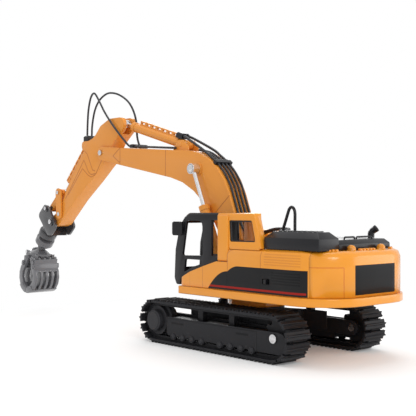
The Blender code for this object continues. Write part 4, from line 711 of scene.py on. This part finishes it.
def hangerBoss(name, x, z, radius, out):
    f = bosses
    bpy.ops.object.select_all(action="DESELECT")
    bpy.ops.mesh.primitive_cylinder_add(vertices=40, radius=radius * mm, depth=(f["face"] - f["seat"]) * mm,
                                        location=spot(x, out * (f["face"] + f["seat"]) / 2, z),
                                        rotation=(radians(90), 0, 0))
    boss = bpy.context.object
    bpy.ops.object.transform_apply(location=True, rotation=True, scale=True)
    choose(boss, lambda centre, normal: normal.y * out > 0.9)
    bpy.ops.mesh.inset(thickness=f["step"] * mm)
    bpy.ops.transform.translate(value=(0, -out * f["dish"] * mm, 0))
    finishPiece(boss, name, hangerBlack, "hanger_body", 0.3)


for side, label in ((1, "Left"), (-1, "Right")):
    hangerBoss("linkBoss" + label, *bosses["linkBoss"], side)
    hangerBoss("tipBoss" + label, *bosses["tipBoss"], side)
liftHead = {"y": 25.8, "radius": 4.4}
axleHead = {"radius": 4.6}
pinHead("liftEyeHeadLeft", *liftEye, liftHead["y"], liftHead["radius"], "left_lift_rod")
pinHead("liftEyeHeadRight", *liftEye, -liftHead["y"], liftHead["radius"], "right_lift_rod")
for side, label in ((1, "Left"), (-1, "Right")):
    low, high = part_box(label.lower() + "_drive_axle")
    pinHead("axleHead" + label, ((low.x + high.x) / 2 - slewX) / mm, (low.z + high.z) / 2 / mm,
            side * max(abs(low.y), abs(high.y)) / mm, axleHead["radius"], label.lower() + "_drive")
print("pin heads on")

# round roller ends along the foot of each side frame, moulded on
rollerEnds = {"x": (15.0, 31.0, 47.0, 63.0), "z": 9.5, "radius": 3.5, "seat": 70.8, "face": 73.3,
              "dish": 0.6, "rim": 0.8, "groove": 0.9}


def joinRow(made, name, material, body, bevel):
    bpy.ops.object.select_all(action="DESELECT")
    for piece in made:
        piece.select_set(True)
    bpy.context.view_layer.objects.active = made[0]
    bpy.ops.object.join()
    finishPiece(made[0], name, material, body, bevel)


def pick(piece):  # the one selected and active piece
    bpy.ops.object.select_all(action="DESELECT")
    piece.select_set(True)
    bpy.context.view_layer.objects.active = piece


def copyTo(first, shift):  # a copy with its own mesh, moved in its mesh
    twin = first.copy()
    twin.data = first.data.copy()
    bpy.context.scene.collection.objects.link(twin)
    pick(twin)
    twin.location = shift
    bpy.ops.object.transform_apply(location=True, rotation=True, scale=True)
    return twin


def rollerRow(label, out):
    f = rollerEnds
    stations = [-x for x in f["x"]] + list(f["x"])
    bpy.ops.object.select_all(action="DESELECT")
    bpy.ops.mesh.primitive_cylinder_add(vertices=28, radius=f["radius"] * mm,
                                        depth=(f["face"] - f["seat"]) * mm,
                                        location=spot(stations[0], out * (f["face"] + f["seat"]) / 2, f["z"]),
                                        rotation=(radians(90), 0, 0))
    end = bpy.context.object
    bpy.ops.object.transform_apply(location=True, rotation=True, scale=True)
    choose(end, lambda centre, normal: normal.y * out > 0.9)
    bpy.ops.mesh.inset(thickness=f["rim"] * mm)
    bpy.ops.transform.translate(value=(0, -out * f["dish"] * mm, 0))
    bpy.ops.mesh.inset(thickness=f["groove"] * mm)
    bpy.ops.transform.translate(value=(0, out * f["dish"] * mm, 0))
    bpy.ops.object.mode_set(mode="OBJECT")
    made = [end] + [copyTo(end, ((x - stations[0]) * mm, 0, 0)) for x in stations[1:]]
    joinRow(made, "rollerEnds" + label, wheelBlack, "undercarriage", 0.15)


rollerRow("Left", 1)
rollerRow("Right", -1)

# rounded ribs on the rim of the counterweight
rimRibs = {"size": (4.2, 2.8, 2.4), "foot": 112.2, "inset": 0.5, "crown": 0.3,
           "rows": {"Middle": ((-153.5, 0.0), (0.0, 5.2), 5), "Left": ((-148.0, 46.0), (2.1, 3.1), 3),
                    "Right": ((-148.0, -46.0), (2.1, -3.1), 3)}}


def rimRow(label, middle, hop, count):
    f = rimRibs
    half = (count - 1) / 2
    bpy.ops.object.select_all(action="DESELECT")
    bpy.ops.mesh.primitive_cube_add(size=mm, location=spot(middle[0] - hop[0] * half, middle[1] - hop[1] * half,
                                                           f["foot"] + f["size"][2] / 2))
    rib = bpy.context.object
    rib.scale = f["size"]
    bpy.ops.object.transform_apply(location=True, rotation=True, scale=True)
    choose(rib, lambda centre, normal: normal.z > 0.9)
    bpy.ops.mesh.inset(thickness=f["inset"] * mm)
    bpy.ops.transform.translate(value=(0, 0, f["crown"] * mm))
    bpy.ops.object.mode_set(mode="OBJECT")
    made = [rib] + [copyTo(rib, (hop[0] * k * mm, hop[1] * k * mm, 0)) for k in range(1, count)]
    joinRow(made, "rimRibs" + label, plainYellow, "house", 0.7)


for label, row in rimRibs["rows"].items():
    rimRow(label, *row)

# two low loops of bar on the rear hood
hoodLoops = {"x": -139.5, "foot": 123.2, "bar": 0.9, "bend": 1.6,
             "ends": {"Left": (18.0, 2.0), "Right": (-1.0, -25.5)}}


def hoodLoop(label, startY, endY):
    f = hoodLoops
    bpy.ops.object.select_all(action="DESELECT")
    bpy.ops.mesh.primitive_cylinder_add(vertices=12, radius=f["bar"] * mm, depth=mm,
                                        location=spot(f["x"], startY, f["foot"] + 0.5))
    loop = bpy.context.object
    bpy.ops.object.transform_apply(location=True, rotation=True, scale=True)
    turn = 1 if endY < startY else -1
    choose(loop, lambda centre, normal: normal.z > 0.9)
    bpy.ops.mesh.spin(steps=5, angle=-turn * pi / 2, axis=(1, 0, 0),
                      center=spot(f["x"], startY - turn * f["bend"], f["foot"] + 1.0))
    bpy.ops.mesh.extrude_region_move(
        TRANSFORM_OT_translate={"value": (0, (endY - startY + 2 * turn * f["bend"]) * mm, 0)})
    bpy.ops.mesh.spin(steps=5, angle=-turn * pi / 2, axis=(1, 0, 0),
                      center=spot(f["x"], endY + turn * f["bend"], f["foot"] + 1.0))
    bpy.ops.mesh.extrude_region_move(TRANSFORM_OT_translate={"value": (0, 0, -1.0 * mm)})
    bpy.ops.mesh.select_all(action="SELECT")
    bpy.ops.mesh.remove_doubles(threshold=0.000002)
    bpy.ops.mesh.normals_make_consistent(inside=False)
    finishPiece(loop, "hoodLoop" + label, blackPlastic, "house")


for label, (startY, endY) in hoodLoops["ends"].items():
    hoodLoop(label, startY, endY)

# tall bent bar on the engine hood, one smooth run
hoop = {"radius": 1.6, "y": 45.0,
        "route": ((-98, 131.6), (-98, 140), (-98, 149.5), (-96.6, 153.9), (-93.4, 155.9), (-90.3, 153.9),
                  (-87.8, 148.4), (-84.6, 140.4), (-82.2, 134.5), (-82, 131.6))}
hoopRun = smoothRun([(x, hoop["y"], z) for x, z in hoop["route"]], 1.2)
hoodHoop = tubeThrough("hoodHoop", hoopRun, [hoop["radius"]] * len(hoopRun), blackPlastic)
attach(hoodHoop, "house")
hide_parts("handrail")

# sleeves that hold the boom hoses at the clamp
sleeves = {"spot": (58.98, 208.9), "along": (0.755, 0.656), "radius": 2.2, "long": 9.0, "lip": 0.45}


def clampSleeves():
    f = sleeves
    way = Vector((f["along"][0], 0, f["along"][1]))
    lanes = hoses["lanes"]
    bpy.ops.object.select_all(action="DESELECT")
    bpy.ops.mesh.primitive_cylinder_add(vertices=24, radius=f["radius"] * mm, depth=f["long"] * 0.4 * mm,
                                        location=spot(f["spot"][0], lanes[0], f["spot"][1]),
                                        rotation=way.to_track_quat("Z", "Y").to_euler())
    sleeve = bpy.context.object
    bpy.ops.object.transform_apply(location=True, rotation=True, scale=True)
    for sign in (1, -1):
        choose(sleeve, lambda centre, normal: normal.dot(way) * sign > 0.9)
        bpy.ops.mesh.inset(thickness=f["lip"] * mm)
        bpy.ops.mesh.extrude_region_move(
            TRANSFORM_OT_translate={"value": way * (sign * f["long"] * 0.3 * mm)})
    bpy.ops.object.mode_set(mode="OBJECT")
    made = [sleeve] + [copyTo(sleeve, (0, (lane - lanes[0]) * mm, 0)) for lane in lanes[1:]]
    for k, piece in enumerate(made, 1):
        pick(piece)
        finishPiece(piece, "clampSleeve%d" % k, blackPlastic, "boom_body", 0.2)


clampSleeves()

# open mouth of the exhaust: a rim round a dark bore
exhaustMouth = {"spot": (-135.0, -38.0, 133.0), "along": (-0.707, -0.354, 0.612), "radius": 3.6, "bore": 2.7}


def exhaustRim():
    f = exhaustMouth
    way = Vector(f["along"]).normalized()
    bpy.ops.object.select_all(action="DESELECT")
    bpy.ops.mesh.primitive_cylinder_add(vertices=32, radius=f["radius"] * 1.06 * mm, depth=2.4 * mm,
                                        location=spot(*f["spot"]) + way * (0.9 * mm),
                                        rotation=way.to_track_quat("Z", "Y").to_euler())
    rim = bpy.context.object
    bpy.ops.object.transform_apply(location=True, rotation=True, scale=True)
    choose(rim, lambda centre, normal: normal.dot(way) > 0.9)
    bpy.ops.mesh.inset(thickness=(f["radius"] * 1.06 - f["bore"]) * mm)
    bpy.ops.mesh.extrude_region_move(TRANSFORM_OT_translate={"value": way * (-1.9 * mm)})
    finishPiece(rim, "exhaustRim", blackPlastic, "house", 0.2)


exhaustRim()

# proud strip down the front edge of the cab's side, its rear edge sloped
cabStrip = {"x": (-24.0, -10.2), "z": (99.2, 147.2), "seat": 69.6, "face": 71.1, "slope": 2.2}


def cabEdge():
    f = cabStrip
    (rear, front), (low, high) = f["x"], f["z"]
    bpy.ops.object.select_all(action="DESELECT")
    bpy.ops.mesh.primitive_cube_add(size=mm, location=spot((rear + front) / 2, (f["seat"] + f["face"]) / 2,
                                                           (low + high) / 2))
    strip = bpy.context.object
    strip.scale = (front - rear, f["face"] - f["seat"], high - low)
    bpy.ops.object.transform_apply(location=True, rotation=True, scale=True)
    choose(strip, lambda centre, normal: normal.y > 0.9)
    bpy.ops.mesh.inset(thickness=0.6 * mm)
    bpy.ops.transform.translate(value=(0, 0.5 * mm, 0))
    choose(strip, lambda centre, normal: normal.x < -0.9)
    bpy.ops.transform.translate(value=(-f["slope"] * mm, 0, 0))
    finishPiece(strip, "cabStrip", plainYellow, "house", 0.3)


cabEdge()

# dark seal round the cab's side window
windowSeal = {"x": (-66.6, -26.4), "z": (119.4, 142.1), "y": (67.0, 69.0), "wide": 1.7,
              "rearLean": 5.5, "frontLean": -1.6}


def sealRing():
    f = windowSeal
    middle = [(a + b) / 2 for a, b in (f["x"], f["y"], f["z"])]
    bpy.ops.object.select_all(action="DESELECT")
    bpy.ops.mesh.primitive_cube_add(size=mm, location=spot(*middle))
    ring = bpy.context.object
    ring.scale = [b - a for a, b in (f["x"], f["y"], f["z"])]
    bpy.ops.object.transform_apply(location=True, rotation=True, scale=True)
    heart = spot(*middle)
    for lean, test in ((f["rearLean"], lambda p: p.x < heart.x and p.z > heart.z),
                       (f["frontLean"], lambda p: p.x > heart.x and p.z < heart.z)):
        chooseCorners(ring, test)
        bpy.ops.transform.translate(value=(lean * mm, 0, 0))
    choose(ring, lambda centre, normal: abs(normal.y) > 0.9)
    bpy.ops.mesh.inset(thickness=f["wide"] * mm)
    bpy.ops.mesh.bridge_edge_loops()
    finishPiece(ring, "windowSeal", blackPlastic, "house", 0.35)


sealRing()
print("trim on")


# studio: white sweep, soft key from the camera's right, plain fill
studio = {"world": 0.78, "floor": 0.86, "lift": 0.12, "near": 0.3, "far": 0.5,
          "boxes": {"keyBox": ((-1.9, 0.7, 1.1), 0.8, 10.0), "rearBox": ((-1.5, -1.5, 0.4), 1.6, 10.0),
                    "backBox": ((1.3, -1.2, 0.8), 1.2, 9.0), "topBox": ((0.1, -0.1, 1.8), 1.4, 8.0)}}
world = bpy.data.worlds.new("studioWorld")
bpy.context.scene.world = world
world.use_nodes = True
tree = world.node_tree
tree.nodes.clear()
seen = addNode(tree, "ShaderNodeLightPath", None, None, "Is Camera Ray")
seen = seen.most(addNode(tree, "ShaderNodeLightPath", None, None, "Is Transmission Ray"))
lit = addNode(tree, "ShaderNodeBackground", None, {"Color": (1, 1, 1, 1), "Strength": studio["world"]})
white = addNode(tree, "ShaderNodeBackground", None, {"Color": (1, 1, 1, 1), "Strength": 1.0})
both = addNode(tree, "ShaderNodeMixShader", None, {0: seen, 1: lit, 2: white})
addNode(tree, "ShaderNodeOutputWorld", None, {"Surface": both})


def softBox(name, place, size, power):
    bpy.ops.object.light_add(type="AREA", location=place)
    lamp = bpy.context.object
    lamp.name = name
    lamp.data.shape = "DISK"
    lamp.data.size = size
    lamp.data.energy = power
    lamp.visible_camera = False
    lamp.rotation_euler = (Vector((0, 0, 0.12)) - Vector(place)).to_track_quat("-Z", "Y").to_euler()


for name, box in studio["boxes"].items():
    softBox(name, *box)

# floor: pale near the machine, where it takes the shadow, and plain white further off
bpy.ops.object.select_all(action="DESELECT")
bpy.ops.mesh.primitive_plane_add(size=60, location=(0, 0, -0.0003))
floor = bpy.context.object
floor.name = "studioFloor"
floorPaint = bpy.data.materials.new("studioFloor")
floorPaint.use_nodes = True
tree = floorPaint.node_tree
tree.nodes.clear()
paper = addNode(tree, "ShaderNodeBsdfDiffuse", None, {"Color": (studio["floor"],) * 3 + (1,)})
seen = addNode(tree, "ShaderNodeLightPath", None, None, "Is Camera Ray")
glow = addNode(tree, "ShaderNodeEmission", None, {"Color": (1, 1, 1, 1), "Strength": seen * studio["lift"]})
near = addNode(tree, "ShaderNodeAddShader", None, {0: paper, 1: glow})
plain = addNode(tree, "ShaderNodeEmission", None, {"Color": (1, 1, 1, 1), "Strength": 1.0})
place = addNode(tree, "ShaderNodeTexCoord", None, None, "Object")
away = place.node("ShaderNodeVectorMath", {"operation": "DISTANCE"}, {0: place, 1: (slewX, 0, 0)}, "Value")
sweep = away.step(studio["near"], studio["far"]) * seen
total = addNode(tree, "ShaderNodeMixShader", None, {0: sweep, 1: near, 2: plain})
addNode(tree, "ShaderNodeOutputMaterial", None, {"Surface": total})
floor.data.materials.append(floorPaint)
print("studio set")
